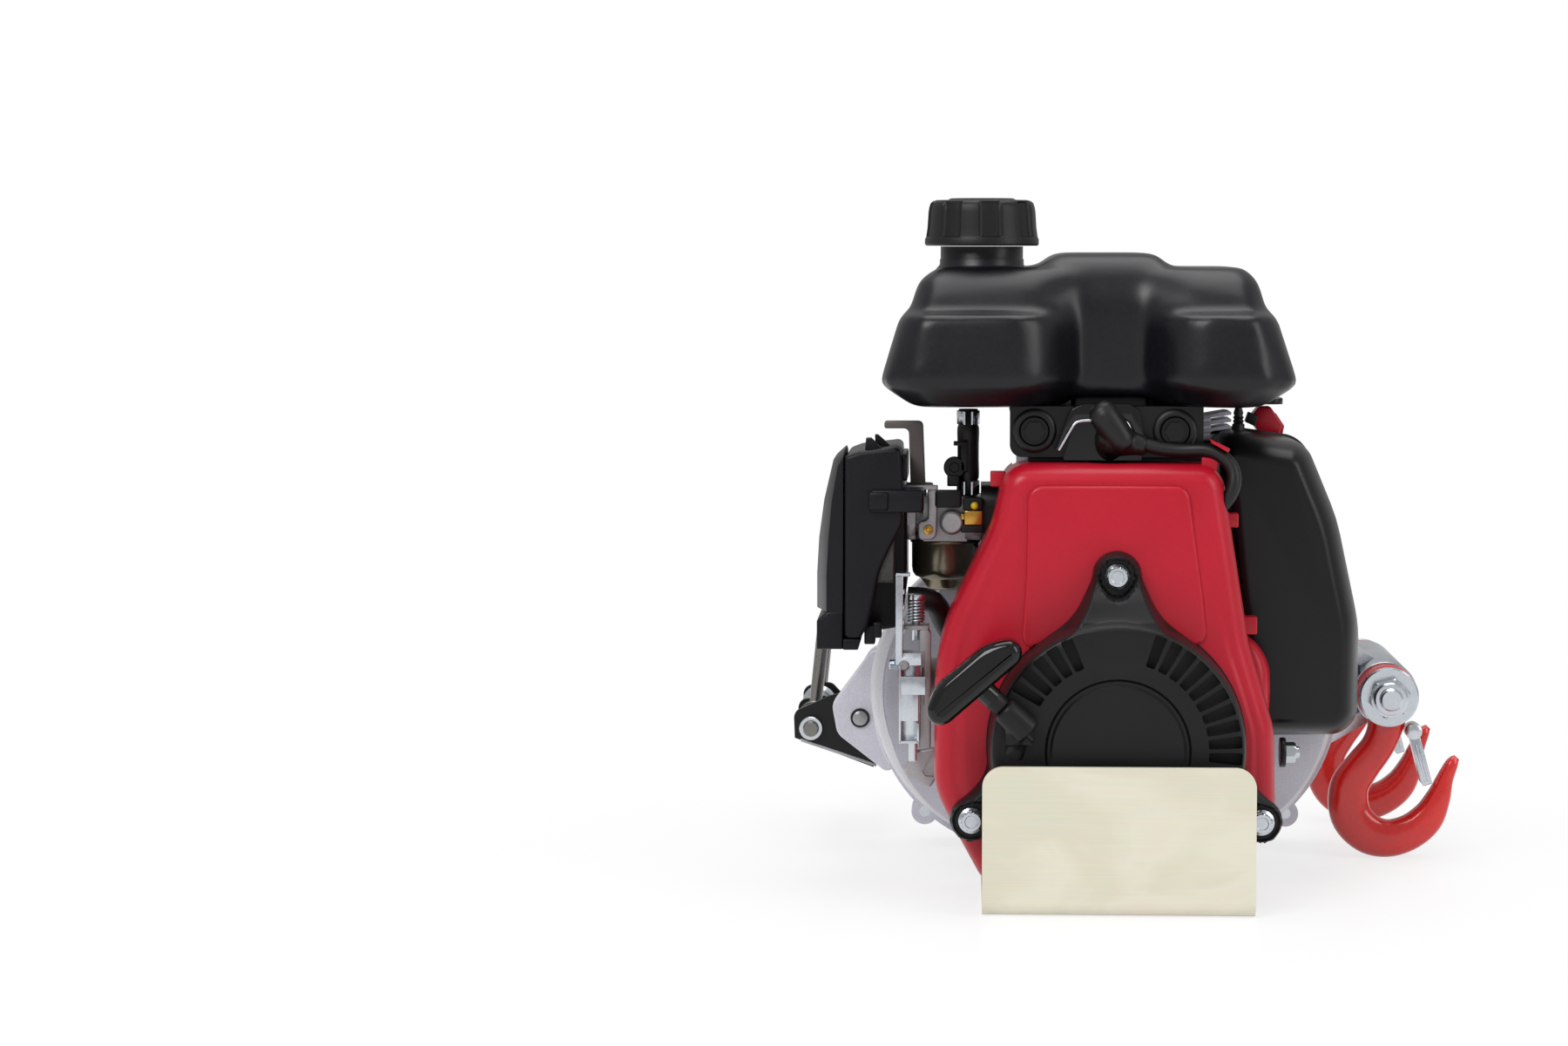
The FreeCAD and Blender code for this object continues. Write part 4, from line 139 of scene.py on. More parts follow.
# steel, stamped and thinly zinc plated: duller and warmer than the bolts
zincDull = finish("zincThinStamped", "#8f8d8e", "#a5a3a3", (0.3, 0.42), 0.8, 0.02, metallic=0.6)
# steel, ground and oiled: darker plain metal
groundSteel = finish("steelGround", "#6f6d6a", "#8d8b87", (0.24, 0.36), 0.7, 0.03, metallic=1.0)
# polyester cord, braided: dusty black
cordBlack = finish("polyesterBraid", "#121212", "#242424", (0.7, 0.85), 0.6, 0.3)
# polyurethane foam, open cell: grey with deep pores
foamGrey = finish("polyurethaneFoam", "#2a2a29", "#4b4b49", (0.85, 0.95), 1.0, 0.6)
# brass, turned: warm yellow
brassTurned = finish("brassTurned", "#b98a3a", "#d3a552", (0.2, 0.3), 0.7, 0.02, metallic=1.0)
# acetal, moulded: taupe grey of the choke lever
acetalTaupe = finish("acetalTaupe", "#5c5654", "#6c6563", (0.4, 0.5), 0.9, 0.03, ior=1.48)
# enamel seal: a drop of yellow paint
sealPaint = finish("sealEnamelYellow", "#d8b81e", "#e6c92c", (0.3, 0.4), 0.8, 0.02, ior=1.5)

# sizes of passivation clouds and rolling lines in millimetres, and where the four tints sit on the ramp
passivation = {"clouds": (80, 80, 45), "lines": (40, 40, 0.7), "lineShare": 0.12, "grain": 0.9, "bump": 0.02,
               "stops": (0.34, 0.45, 0.56, 0.68)}


def passivatedZinc(name, tones, rough, shine):
    # rolled sheet, zinc plated and yellow passivated: straw with pink and green clouds, fine rolling lines
    low, high, green, pink = tones
    made = finish(name, low, high, rough, passivation["grain"], passivation["bump"], metallic=shine)
    tree = made.node_tree
    place = addNode(tree, "ShaderNodeTexCoord").outputs["Object"]

    def noise(sizes, settings):
        scale = tuple(1 / (size * mm) for size in sizes)
        stretch = addNode(tree, "ShaderNodeMapping", {"Scale": scale}, {"Vector": place})
        return addNode(tree, "ShaderNodeTexNoise", {"Scale": 1.0, **settings}, {"Vector": stretch.outputs[0]})

    cloud = noise(passivation["clouds"], {"Detail": 5.0, "Distortion": 0.8})
    tint = addNode(tree, "ShaderNodeValToRGB", None, {"Fac": cloud.outputs["Fac"]})
    setRamp(tint, list(zip(passivation["stops"], (green, low, high, pink))))
    rolled = noise(passivation["lines"], {"Detail": 2.0})
    shade = addNode(tree, "ShaderNodeMix", {"data_type": "RGBA", "blend_type": "OVERLAY",
                                            "Factor": passivation["lineShare"]},
                    {6: tint.outputs["Color"], 7: rolled.outputs["Color"]})
    tree.links.new(shade.outputs[2], tree.nodes["Principled BSDF"].inputs["Base Color"])
    return made


zincStraw = passivatedZinc("zincYellowPassivated", ("#d8d3bf", "#dedac8", "#d5d4c0", "#dfd5c6"), (0.36, 0.46),
                           0.3)
zincOlive = passivatedZinc("zincOlivePassivated", ("#6a6557", "#857f6c", "#5d6157", "#8a7a68"), (0.18, 0.28),
                           0.8)

# finishes of the frame's parts that are shown as they are, and the roundings of their edges
cadFinish = {
    zincStraw: "front_foot",
    castGrey: "crankcase cylinder_block gear_housing gear_case flywheel_fan capstan_drum",
    castPale: "carburettor_body",
    groundSteel: "crankshaft clutch_hub clutch_shoes clutch_bell first_gear second_gear drum_shaft bearings "
                 "spark_plug ignition_coil",
    zincClear: "housing_bolts drum_bolt hose_clamps adjuster_screw rope_roller anchor_bracket",
    dipBlack: "tank_bracket tank_bolts rope_guide",
    nylonCover: "recoil_pulley intake_insulator",
}
roundings = {"gear_housing": 1.2, "gear_case": 1.2, "crankcase": 2.0, "front_foot": 0.4,
             "anchor_bracket": 0.8, "others": 0.35}
weldGap = 0.01
bevelAngle = 40
for material, names in cadFinish.items():
    for name in names.split():
        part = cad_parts[name]
        part.data.materials.clear()
        part.data.materials.append(material)
        seam = part.modifiers.new("seamWeld", "WELD")
        seam.merge_threshold = weldGap * mm
        edge = part.modifiers.new("edgeRounding", "BEVEL")
        edge.width = roundings.get(name, roundings["others"]) * mm
        edge.segments = 2
        edge.limit_method = "ANGLE"
        edge.angle_limit = math.radians(bevelAngle)
        edge.harden_normals = True
print("finishes on the frame's shown parts")

depthAxis = (0, 1, 0)
frontAxis = (0, -1, 0)
rightAxis = (1, 0, 0)
upAxis = (0, 0, 1)


def placed(name, data, material, stands, body):
    piece = bpy.data.objects.new(name, data)
    bpy.context.collection.objects.link(piece)
    data.name = name
    data.materials.append(material)
    if body:
        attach(piece, body)
    if stands:
        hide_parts(*stands)
    return piece


def newPiece(name, mesh, material, slot, *stands, body="frame", sharp=40):
    # a list of meshes is joined into one piece
    mesh = joined(mesh) if isinstance(mesh, list) else mesh
    mesh.shade_smooth()
    if sharp:
        mesh.set_sharp_from_angle(angle=math.radians(sharp))
    return placed(name, mesh, material, stands, body)


def nurbs(name, route, radius, resolution=10):
    # one open NURBS spline with the route's points as its control points
    curve = bpy.data.curves.new(name, "CURVE")
    curve.dimensions = "3D"
    spline = curve.splines.new("NURBS")
    spline.points.add(len(route) - 1)
    for point, place in zip(spline.points, route):
        point.co = tuple(Vector(place) * mm) + (1,)
    spline.order_u = 3
    spline.use_endpoint_u = True
    spline.resolution_u = resolution
    curve.bevel_depth = radius * mm
    curve.bevel_resolution = 6
    curve.use_fill_caps = True
    return curve


def newLine(name, route, radius, material, slot, *stands, resolution=10):
    return placed(name, nurbs(name, route, radius, resolution), material, stands, "frame")


def meshOf(points, faces):
    made = bpy.data.meshes.new("made")
    made.from_pydata([tuple(Vector(p) * mm) for p in points], [], faces)
    return outward(made)


def outward(mesh, weld=0):
    # the mesh with its doubled points welded and all faces turned outwards
    tool = bmesh.new()
    tool.from_mesh(mesh)
    if weld:
        bmesh.ops.remove_doubles(tool, verts=tool.verts, dist=weld * mm)
    bmesh.ops.recalc_face_normals(tool, faces=tool.faces)
    tool.to_mesh(mesh)
    tool.free()
    return mesh


def bakedMesh(mesh, *modifiers):
    # the mesh as the listed modifiers leave it
    rough = bpy.data.objects.new("rough", mesh)
    bpy.context.collection.objects.link(rough)
    for kind, settings in modifiers:
        step = rough.modifiers.new(kind, kind)
        for key, value in settings.items():
            setattr(step, key, value)
    return evaluated(rough)


def evaluated(rough):
    made = bpy.data.meshes.new_from_object(rough.evaluated_get(bpy.context.evaluated_depsgraph_get()))
    bpy.data.objects.remove(rough)
    return made


def joined(meshes):
    tool = bmesh.new()
    for mesh in meshes:
        tool.from_mesh(mesh)
    made = bpy.data.meshes.new("made")
    tool.to_mesh(made)
    tool.free()
    return made


def hullOf(chunk):
    tool = bmesh.new()
    corners = [tool.verts.new(Vector(p) * mm) for p in chunk]
    wrapped = bmesh.ops.convex_hull(tool, input=corners)
    bmesh.ops.delete(tool, geom=wrapped["geom_interior"], context="VERTS")
    made = bpy.data.meshes.new("made")
    tool.to_mesh(made)
    tool.free()
    return made


def melted(meshes, voxel, passes):
    # solids melted into one skin, so every inner and outer corner comes out rounded
    return bakedMesh(joined(meshes), ("REMESH", {"mode": "VOXEL", "voxel_size": voxel * mm}),
                     ("SMOOTH", {"factor": 0.5, "iterations": passes}))


def thickened(mesh, sheet):
    return bakedMesh(mesh, ("SOLIDIFY", {"thickness": sheet * mm, "offset": -1}))


def carved(mesh, cutter):
    # mesh less the cutter's solid
    tool = bpy.data.objects.new("cutter", cutter)
    bpy.context.collection.objects.link(tool)
    made = bakedMesh(mesh, ("BOOLEAN", {"operation": "DIFFERENCE", "solver": "EXACT", "object": tool}))
    bpy.data.objects.remove(tool)
    return made


def softBlock(chunk, width=0.8):
    return bakedMesh(hullOf(chunk),
                     ("BEVEL", {"width": width * mm, "segments": 3, "limit_method": "ANGLE"}))


def block(x0, x1, y0, y1, z0, z1):
    return [(x, y, z) for x in (x0, x1) for y in (y0, y1) for z in (z0, z1)]


def bars(*rows):
    # soft blocks from rows of six sides and the width of the edges
    return [softBlock(block(*sides), width) for *sides, width in rows]


def upright(outline, front, rear):
    # chunk of an outline of (x, z) held between two depths
    return [(x, y, z) for y in (front, rear) for x, z in outline]


def prism(outline, front, rear, width=0.8):
    return softBlock(upright(outline, front, rear), width)


def rounded(corners, radii, step=9):
    # closed outline with an arc at each corner, step is the angle between its points
    path = []
    for i, corner in enumerate(corners):
        corner = Vector(corner)
        before = (Vector(corners[i - 1]) - corner).normalized()
        after = (Vector(corners[(i + 1) % len(corners)]) - corner).normalized()
        halfAngle = before.angle(after) / 2
        reach = radii[i] / math.tan(halfAngle)
        centre = corner + (before + after).normalized() * (radii[i] / math.sin(halfAngle))
        first = corner + before * reach - centre
        last = corner + after * reach - centre
        count = max(2, int(math.degrees(first.angle(last)) / step))
        turn = first.angle_signed(last)
        for j in range(count + 1):
            path.append(centre + Matrix.Rotation(-turn * j / count, 2) @ first)
    return path


def inset(path, amount):
    # every point moved inwards along the outline's own normal
    area = sum(a.x * b.y - b.x * a.y for a, b in zip(path, path[1:] + path[:1]))
    side = 1 if area > 0 else -1
    moved = []
    for i, p in enumerate(path):
        along = path[(i + 1) % len(path)] - path[i - 1]
        if along.length < 1e-6:
            along = Vector((1, 0))
        normal = Vector((-along.y, along.x)).normalized() * side
        moved.append(p + normal * amount)
    return moved


def bridged(rings, firstCap=True, lastCap=True, closed=False):
    # skin over rings of equal point counts, closed joins the last ring to the first
    count, total = len(rings[0]), len(rings)
    faces = []
    for r in range(total if closed else total - 1):
        n = (r + 1) % total
        for i in range(count):
            j = (i + 1) % count
            faces.append((r * count + i, r * count + j, n * count + j, n * count + i))
    if firstCap:
        faces.append(tuple(range(count)))
    if lastCap:
        faces.append(tuple(range((total - 1) * count, total * count)))
    return meshOf([p for ring in rings for p in ring], faces)


def facing(x, z, depth):
    return (x, depth, z)


def ringBody(path, rings, toSpace=facing, firstCap=True, lastCap=True):
    # one loop of points for each (depth, inset), bridged in order
    return bridged([[toSpace(p.x, p.y, depth) for p in inset(path, amount)] for depth, amount in rings],
                   firstCap, lastCap)


def roll(depth, radius, towards, steps=5):
    # rings that roll an edge over by a quarter circle
    turns = [math.pi / 2 * i / steps for i in range(steps + 1)]
    return [(depth - towards * radius * (1 - math.sin(t)), radius * (1 - math.cos(t))) for t in turns]


def slab(path, front, rear, toSpace=facing):
    # outline between two rolled ends, each given as depth, edge radius and steps
    return ringBody(path, list(reversed(roll(rear[0], rear[1], 1, *rear[2:])))
                    + roll(front[0], front[1], -1, *front[2:]), toSpace)


def lathe(profile, centre, steps=64, axis=depthAxis, wave=None, closed=False):
    # profile of (radius, height) turned about an axis, wave changes the radius by angle, closed makes a ring
    axis = Vector(axis).normalized()
    across = axis.orthogonal().normalized()
    other = axis.cross(across)
    rings = []
    for radius, height in profile:
        ring = []
        for i in range(steps):
            turn = 2 * math.pi * i / steps
            reach = radius + (wave(turn, height) if wave else 0)
            ring.append(Vector(centre) + axis * height + across * (reach * math.cos(turn))
                        + other * (reach * math.sin(turn)))
        rings.append(ring)
    return bridged(rings, not closed, not closed, closed)


def hexBolt(place, axis, profile, hexStart, flat):
    # turned profile whose part above hexStart is cut to six flats at that distance from the axis
    def sixFlats(turn, height):
        if height < hexStart:
            return 0
        radius = [r for r, h in profile if h >= height][0]
        return min(0, flat / math.cos((turn + math.pi / 6) % (math.pi / 3) - math.pi / 6) - radius)
    return lathe(profile, place, 72, axis, sixFlats)


def smoothLine(stations, parts=6):
    # Catmull-Rom points through stations of any number of values
    line = []
    last = len(stations) - 1
    for i in range(last):
        quad = [stations[max(i - 1, 0)], stations[i], stations[i + 1], stations[min(i + 2, last)]]
        for j in range(parts):
            t = j / parts
            line.append([0.5 * (2 * b + (c - a) * t + (2 * a - 5 * b + 4 * c - d) * t * t
                                + (3 * b - a - 3 * c + d) * t ** 3) for a, b, c, d in zip(*quad)])
    line.append(list(stations[last]))
    return line


def sweep(stations, middle, corners, power):
    # stations of (x, z, half width, half thickness) in an upright plane at depth middle
    line = smoothLine(stations)
    rings = []
    for i, (x, z, wide, thick) in enumerate(line):
        ahead = Vector(line[min(i + 1, len(line) - 1)][:2]) - Vector(line[max(i - 1, 0)][:2])
        side = Vector((-ahead.y, ahead.x)).normalized()
        ring = []
        for k in range(corners):
            turn = 2 * math.pi * k / corners
            c, s = math.cos(turn), math.sin(turn)
            a = wide * math.copysign(abs(c) ** (2 / power), c)
            b = thick * math.copysign(abs(s) ** (2 / power), s)
            ring.append((x + side.x * a, middle + b, z + side.y * a))
        rings.append(ring)
    return bridged(rings)


def clamp(value, low=0.0, high=1.0):
    return min(max(value, low), high)


def ease(value):
    value = clamp(value)
    return value * value * (3 - 2 * value)


def softMax(a, b, reach):
    lap = max(reach - abs(a - b), 0) / reach
    return max(a, b) + lap * lap * reach / 4


def between(table, value):
    # straight-line reading of a table of (place, height)
    for (x0, y0), (x1, y1) in zip(table, table[1:]):
        if value <= x1:
            return y0 + (y1 - y0) * clamp((value - x0) / (x1 - x0))
    return table[-1][1]


def heading(turn):
    return Vector((math.cos(turn), math.sin(turn)))


# fuel tank: two lobes on a recessed middle, a saddle hump on top
tank = {"voxel": 2.1, "passes": 34, "bottom": 240.6, "belt": 252, "tier": 287, "top": 309.4, "humpTop": 316.4,
        "filler": (-66, 48, 0)}
# each level gives the depths of its corners, then their places across in the left and in the right lobe
lobes = {tank["bottom"]: ((4, -4, -2, 6, 24, 116, 123, 115), (-99, -91, -56, -40, -24, -24, -91, -99),
                          (71, 63, 50, 34, 20, 20, 63, 71)),
         tank["belt"]: ((6, -5, -16, -16, -11.5, -2, 14, 132, 136, 125),
                        (-116.4, -113.4, -99, -47, -37, -28, -18, -18, -99, -113.4),
                        (89.4, 86.4, 72, 41, 31, 23, 14, 14, 72, 86.4)),
         tank["tier"]: ((8, -2, -12, -12.6, -8, 1, 16, 130, 131, 121),
                        (-106, -103, -94, -49, -39, -29, -18, -18, -94, -103),
                        (78, 75, 66, 43, 33, 24, 14, 14, 66, 75))}
crowns = {278: ((10, -4, -5, 4, 18, 126, 124, 114), (-103, -96, -46, -30, -12, -12, -96, -103),
                (75, 68, 42, 26, 8, 8, 68, 75)),
          294: ((16, 4, 3, 10, 20, 122, 119, 110), (-100, -93, -42, -26, -12, -12, -93, -100),
                (72.6, 65, 38, 22, 8, 8, 65, 72.6)),
          303: ((20, 12, 10, 22, 118, 115, 107), (-97, -90, -40, -12, -12, -90, -97),
                (70, 63, 36, 8, 8, 63, 70)),
          tank["top"]: ((26, 21, 19, 26, 112, 110, 104), (-87, -81, -36, -12, -12, -81, -87),
                        (63, 57, 32, 8, 8, 57, 63))}
# the saddle's levels give left, right, front and rear
saddle = {245: (-24, 20, 15, 132), 292: (-26, 22, 15, 128), 303: (-36, 26, 19, 122), 312: (-35, 25, 26, 116),
          tank["humpTop"]: (-29, 20, 34, 108)}
lumps = [hullOf([(x, y, z) for z, level in table.items() for x, y in zip(level[side], level[0])])
         for table in (lobes, crowns) for side in (1, 2)]
lumps.append(hullOf([p for z, sides in saddle.items() for p in block(*sides, z, z)]))
neck = lathe([(24, 302), (24, 307), (22.2, 309), (21, 310.5), (21, 313), (20.6, 313.4), (20.6, 319.5),
              (16.8, 319.5), (16.8, 303)], tank["filler"], axis=upAxis)
newPiece("fuelTank", [melted(lumps, tank["voxel"], tank["passes"]), neck], hdpeTank, "black_moulding",
         "fuel_tank", sharp=50)

# filler cap: eight finger flats around a tall rim
cap = {"low": 319.8, "high": 342.6, "radius": 28.2, "flats": 8, "flatDepth": 1.7, "share": 0.46,
       "phase": 0.29, "ramp": 0.06, "rim": 4.5, "crown": 1.6}


def capWave(turn, height):
    if not cap["low"] + cap["rim"] < height < cap["high"] - cap["crown"]:
        return 0
    phase = (turn * cap["flats"] / (2 * math.pi) + cap["phase"]) % 1
    edge = clamp((abs(phase - 0.5) - cap["share"] / 2) / cap["ramp"])
    return -cap["flatDepth"] * (1 - edge)


low, high, reach = cap["low"], cap["high"], cap["radius"]
capProfile = [(24.5, low), (reach - 0.4, low), (reach + 0.3, low + 0.8), (reach + 0.3, low + 3.2),
              (reach - 0.2, low + 4.2), (reach - 0.3, low + 4.8), (reach - 0.9, low + 9),
              (reach - 1.4, high - 6), (reach - 1.8, high - 3.6), (reach - 2.4, high - 1.7),
              (reach - 3.6, high - 0.6), (reach - 5.5, high), (17, high + 0.1), (15.5, high + 0.9),
              (2, high + 0.9)]
newPiece("fillerCap", lathe(capProfile, tank["filler"], 192, upAxis, capWave), nylonCover,
         "black_moulding", "fuel_cap", body="cap", sharp=38)
print("tank and cap moulded")

# muffler guard: deep-drawn pan with rolled front edge
guard = {"front": 47, "rear": 113, "dome": 30, "lap": 12.6, "sheet": 1.6, "bead": -1.2, "steps": 16,
         "outline": [(46, 228), (98.5, 220.5), (114.5, 182), (126, 128), (125.6, 71.8), (66, 71), (60, 112),
                     (51, 198)],
         "radii": [13, 15, 90, 80, 15, 13, 60, 60]}
guardOutline = rounded(guard["outline"], guard["radii"], 4)
rear = guard["rear"]
guardRings = [(rear, guard["bead"]), (rear - 1.5, guard["bead"]), (rear - 2.4, 0), (rear - 20, 0)]
for i in range(guard["steps"] + 1):
    turn = math.pi / 2 * i / guard["steps"]
    guardRings.append((guard["front"] + guard["dome"] * (1 - math.sin(turn)),
                       guard["lap"] * (1 - math.cos(turn))))
guardSkin = thickened(ringBody(guardOutline, guardRings, firstCap=False), guard["sheet"])
newPiece("mufflerPan", guardSkin, dipBlack, "black_sheet", "muffler_guard", sharp=50)
print("muffler pan drawn")

# safety hooks: forged, thick in the bowl, thin and flared at the tip
hook = {"eyeRadius": 15.8, "bore": 6.4, "half": 6.9, "x": 147, "z": 85,
        "sides": {"Front": 133, "Rear": 265},
        "spine": [(147, 75, 10.5, 6.6), (145.5, 66, 9.0, 6.6), (141.5, 57, 8.6, 6.8), (134, 47, 9.2, 7.0),
                  (127.6, 36, 10.2, 7.0), (128.5, 22, 10.8, 7.0), (137, 12.4, 10.6, 7.0),
                  (148, 9.6, 9.8, 7.0), (159.5, 13, 9.2, 7.0), (168.5, 20.5, 8.4, 6.8), (174, 31, 6.4, 6.2),
                  (177.4, 41, 4.4, 5.2), (181.2, 49.4, 3.2, 4.4), (183.6, 52.4, 1.6, 2.6)]}
half, outer, inner = hook["half"], hook["eyeRadius"], hook["bore"]
eyeProfile = [(inner, -half), (outer - 4, -half), (outer - 1.2, -half + 1.4), (outer, -half + 4.4),
              (outer, half - 4.4), (outer - 1.2, half - 1.4), (outer - 4, half), (inner, half)]
for side, middle in hook["sides"].items():
    hookEye = lathe(eyeProfile, (hook["x"], middle, hook["z"]), 48, closed=True)
    newPiece("hook" + side, [sweep(hook["spine"], middle, 28, 2.9), hookEye], coatRed, "red_paint",
             side.lower() + "_hook", body="hook_" + side.lower(), sharp=60)
print("hooks forged")

# ignition lead, from the plug elbow over the shroud's shoulder and in to the coil
lead = {"radius": 3.5, "length": 0.1144,
        "route": [(8, 3.3, 225.2), (16, 2, 221.5), (31, 1, 219.5), (46, -2, 221), (57, -5, 213),
                  (57.5, -8, 202), (51, -6, 192), (43, 5, 187), (34, 19, 182), (34, 19, 171)]}
leadLine = newLine("ignitionLead", lead["route"], lead["radius"], rubberBlack, "black_rubber",
                   "ignition_lead")

# breather hose, from the air cleaner's nipple to the crankcase
breather = {"radius": 5.7, "length": 0.0717,
            "route": [(-102.5, 44, 143), (-94.5, 44, 143), (-88, 46.5, 140), (-85, 55, 131), (-77, 64, 117),
                      (-66, 66, 104), (-56, 66, 104)]}
breatherLine = newLine("breatherHose", breather["route"], breather["radius"], rubberBlack, "black_rubber",
                       "rubber_hoses")

# fuel hose, a short stub that swells over its two spigots
fuelHose = {"place": (-72.5, 58, 0), "low": 193.8, "high": 237.7,
            "half": [(2.6, 0), (4.7, 0), (4.95, 0.5), (4.95, 8), (5.5, 9.4), (5.6, 12), (5.4, 18)]}
hoseProfile = [(r, fuelHose["low"] + h) for r, h in fuelHose["half"]]
hoseProfile += [(r, fuelHose["high"] - h) for r, h in reversed(fuelHose["half"])]
newPiece("fuelHose", lathe(hoseProfile, fuelHose["place"], 40, upAxis), rubberBlack, "black_rubber",
         "rubber_hoses", sharp=50)

# idle screw's spring: music wire, seven turns
spring = {"x": -98, "y": 21, "low": 132.9, "radius": 3.6, "wire": 0.55, "turns": 7, "pitch": 1.55,
          "perTurn": 12}
coil = []
for i in range(spring["turns"] * spring["perTurn"] + 1):
    turn = 2 * math.pi * i / spring["perTurn"]
    reach = spring["radius"] / math.cos(math.pi / spring["perTurn"]) ** 2
    coil.append((spring["x"] + reach * math.cos(turn), spring["y"] + reach * math.sin(turn),
                 spring["low"] + spring["pitch"] * i / spring["perTurn"]))
newLine("idleSpring", coil, spring["wire"], zincClear, "zinc_steel", "adjuster_spring", resolution=4)
print("lead, hoses and spring laid")

# starter grip: flat-faced lozenge with polished shoulders, on a thick stem
grip = {"centre": (-70.2, 113.0), "tilt": 41, "front": -64, "rear": -44, "edge": 5, "pull": 43,
        "stem": (-55.6, -54, 99.2), "satinFace": -0.97, "satinReach": 10}
along = heading(math.radians(grip["tilt"]))
across = Vector((-along.y, along.x))


def gripSpace(u, v, depth):
    p = Vector(grip["centre"]) + along * u + across * v
    return (p.x, depth, p.y)


gripOutline = rounded([(-28.5, -3.5), (-24, -8.4), (24, -8.4), (28.5, -3.5), (27, 3), (16, 9), (-16, 9),
                       (-27, 3)], [6, 8, 8, 6, 7, 24, 24, 7], 8)
gripSkin = slab(gripOutline, (grip["front"], grip["edge"], 8), (grip["rear"], grip["edge"]), gripSpace)
pullTurn = math.radians(grip["pull"])
pull = Vector((-math.cos(pullTurn), 0, math.sin(pullTurn)))
stemStart = Vector(grip["stem"])
stem = lathe([(2.2, 0), (4.4, 0), (4.9, 0.6), (5.2, 6), (5.5, 13), (6.4, 15.5), (8, 17.5), (8, 20)],
             stemStart, 40, pull)
gripPiece = newPiece("starterGrip", [gripSkin, stem], nylonGloss, "black_moulding", "starter_handle",
                     body="grip")
gripPiece.data.materials.append(nylonCover)
for face in gripPiece.data.polygons:
    if face.normal.y < grip["satinFace"] or (face.center - stemStart * mm).length < grip["satinReach"] * mm:
        face.material_index = 1

# starter cord: drawn out of the cover's eye by the grip
starter = {"radius": 2.0, "eye": (-49, -54, 93), "inside": 8.0, "outside": 19.0, "rings": 36, "corners": 32,
           "relief": 0.12, "strands": 4, "lay": 2.2}
eye = Vector(starter["eye"])
cordStart = eye - pull * starter["inside"]
span = starter["inside"] + starter["outside"]
cordProfile = [(starter["radius"], span * i / starter["rings"]) for i in range(starter["rings"] + 1)]


def braid(turn, height):
    strand, twist = starter["strands"] * turn, starter["lay"] * height
    return starter["relief"] * math.sin(strand + twist) * math.sin(strand - twist)


cordPiece = newPiece("starterCord", lathe(cordProfile, cordStart, starter["corners"], pull, braid),
                     cordBlack, "starter_rope", "starter_cord", body=None, sharp=60)
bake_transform(cordPiece)
print("starter grip and cord made")

# choke lever: an upright blade that bends over into a finger tab
blade = rounded([(-101.6, 196), (-94.0, 196), (-95.4, 231), (-115, 231), (-115, 227.4), (-102.6, 227.4)],
                [1.2, 1.2, 2.6, 1.2, 1.2, 2.6], 15)
chokeStem = lathe([(3.2, 190.8), (3.4, 191.2), (3.4, 196.2), (6.5, 196.4), (6.9, 196.9), (6.9, 199),
                   (6.4, 199.6), (2, 199.6)], (-97, 70, 0), 40, upAxis)
newPiece("chokeBlade", [slab(blade, (64, 0.7), (76, 0.7)), chokeStem], acetalTaupe, "black_moulding",
         "choke_lever", body="choke", sharp=45)

# spark plug elbow: thick moulded rubber, a dome over the terminal and a sleeve towards the lead
elbow = {"voxel": 0.8, "passes": 3, "lean": 38, "reach": 30, "foot": (-3, 30, 207), "dome": (-5.4, 3, 236.2),
         "domeAxis": (8.2, -1.4, -11.4)}
lean = math.radians(elbow["lean"])
plugAxis = Vector((0, -math.cos(lean), math.sin(lean)))
plugFoot = Vector(elbow["foot"])
bootTop = plugFoot + plugAxis * elbow["reach"]
sleeveAxis = (Vector(lead["route"][1]) - bootTop).normalized()
elbowParts = [lathe([(5.4, 8.0), (9.6, 8.0), (10, 9.4), (9.2, 12), (7.6, 24), (7.4, 30), (6.6, 33.6),
                     (4.6, 36.2), (2, 37.2)], plugFoot, 48, plugAxis),
              lathe([(3, -2), (8.4, 0), (8.2, 4), (7.2, 8), (5.6, 13), (4.9, 17), (4.6, 18.6), (3.5, 19)],
                    bootTop, 40, sleeveAxis),
              lathe([(1, -8), (4.4, -7), (6.5, -4.6), (7.5, -1), (7.6, 3), (7.2, 10), (6.6, 15), (5, 18.6),
                     (2, 20)], elbow["dome"], 40, elbow["domeAxis"])]
newPiece("plugElbow", melted(elbowParts, elbow["voxel"], elbow["passes"]), rubberBlack, "black_rubber",
         "plug_cap", sharp=None)

# tank grommets: turned-over rubber bushes
bushProfile = [(6.8, 15), (10.2, 15), (10.9, 14.2), (10.9, 12.2), (10.9, 9), (10.9, 7.6), (10.3, 6.5), (9, 6),
               (7.6, 6), (7.0, 6.5), (6.8, 7.4)]
bushes = [lathe(bushProfile, (x, 0, 229), 56) for x in (-40, 29)]
newPiece("tankBushes", bushes, rubberBlack, "black_rubber", "tank_grommets", sharp=50)

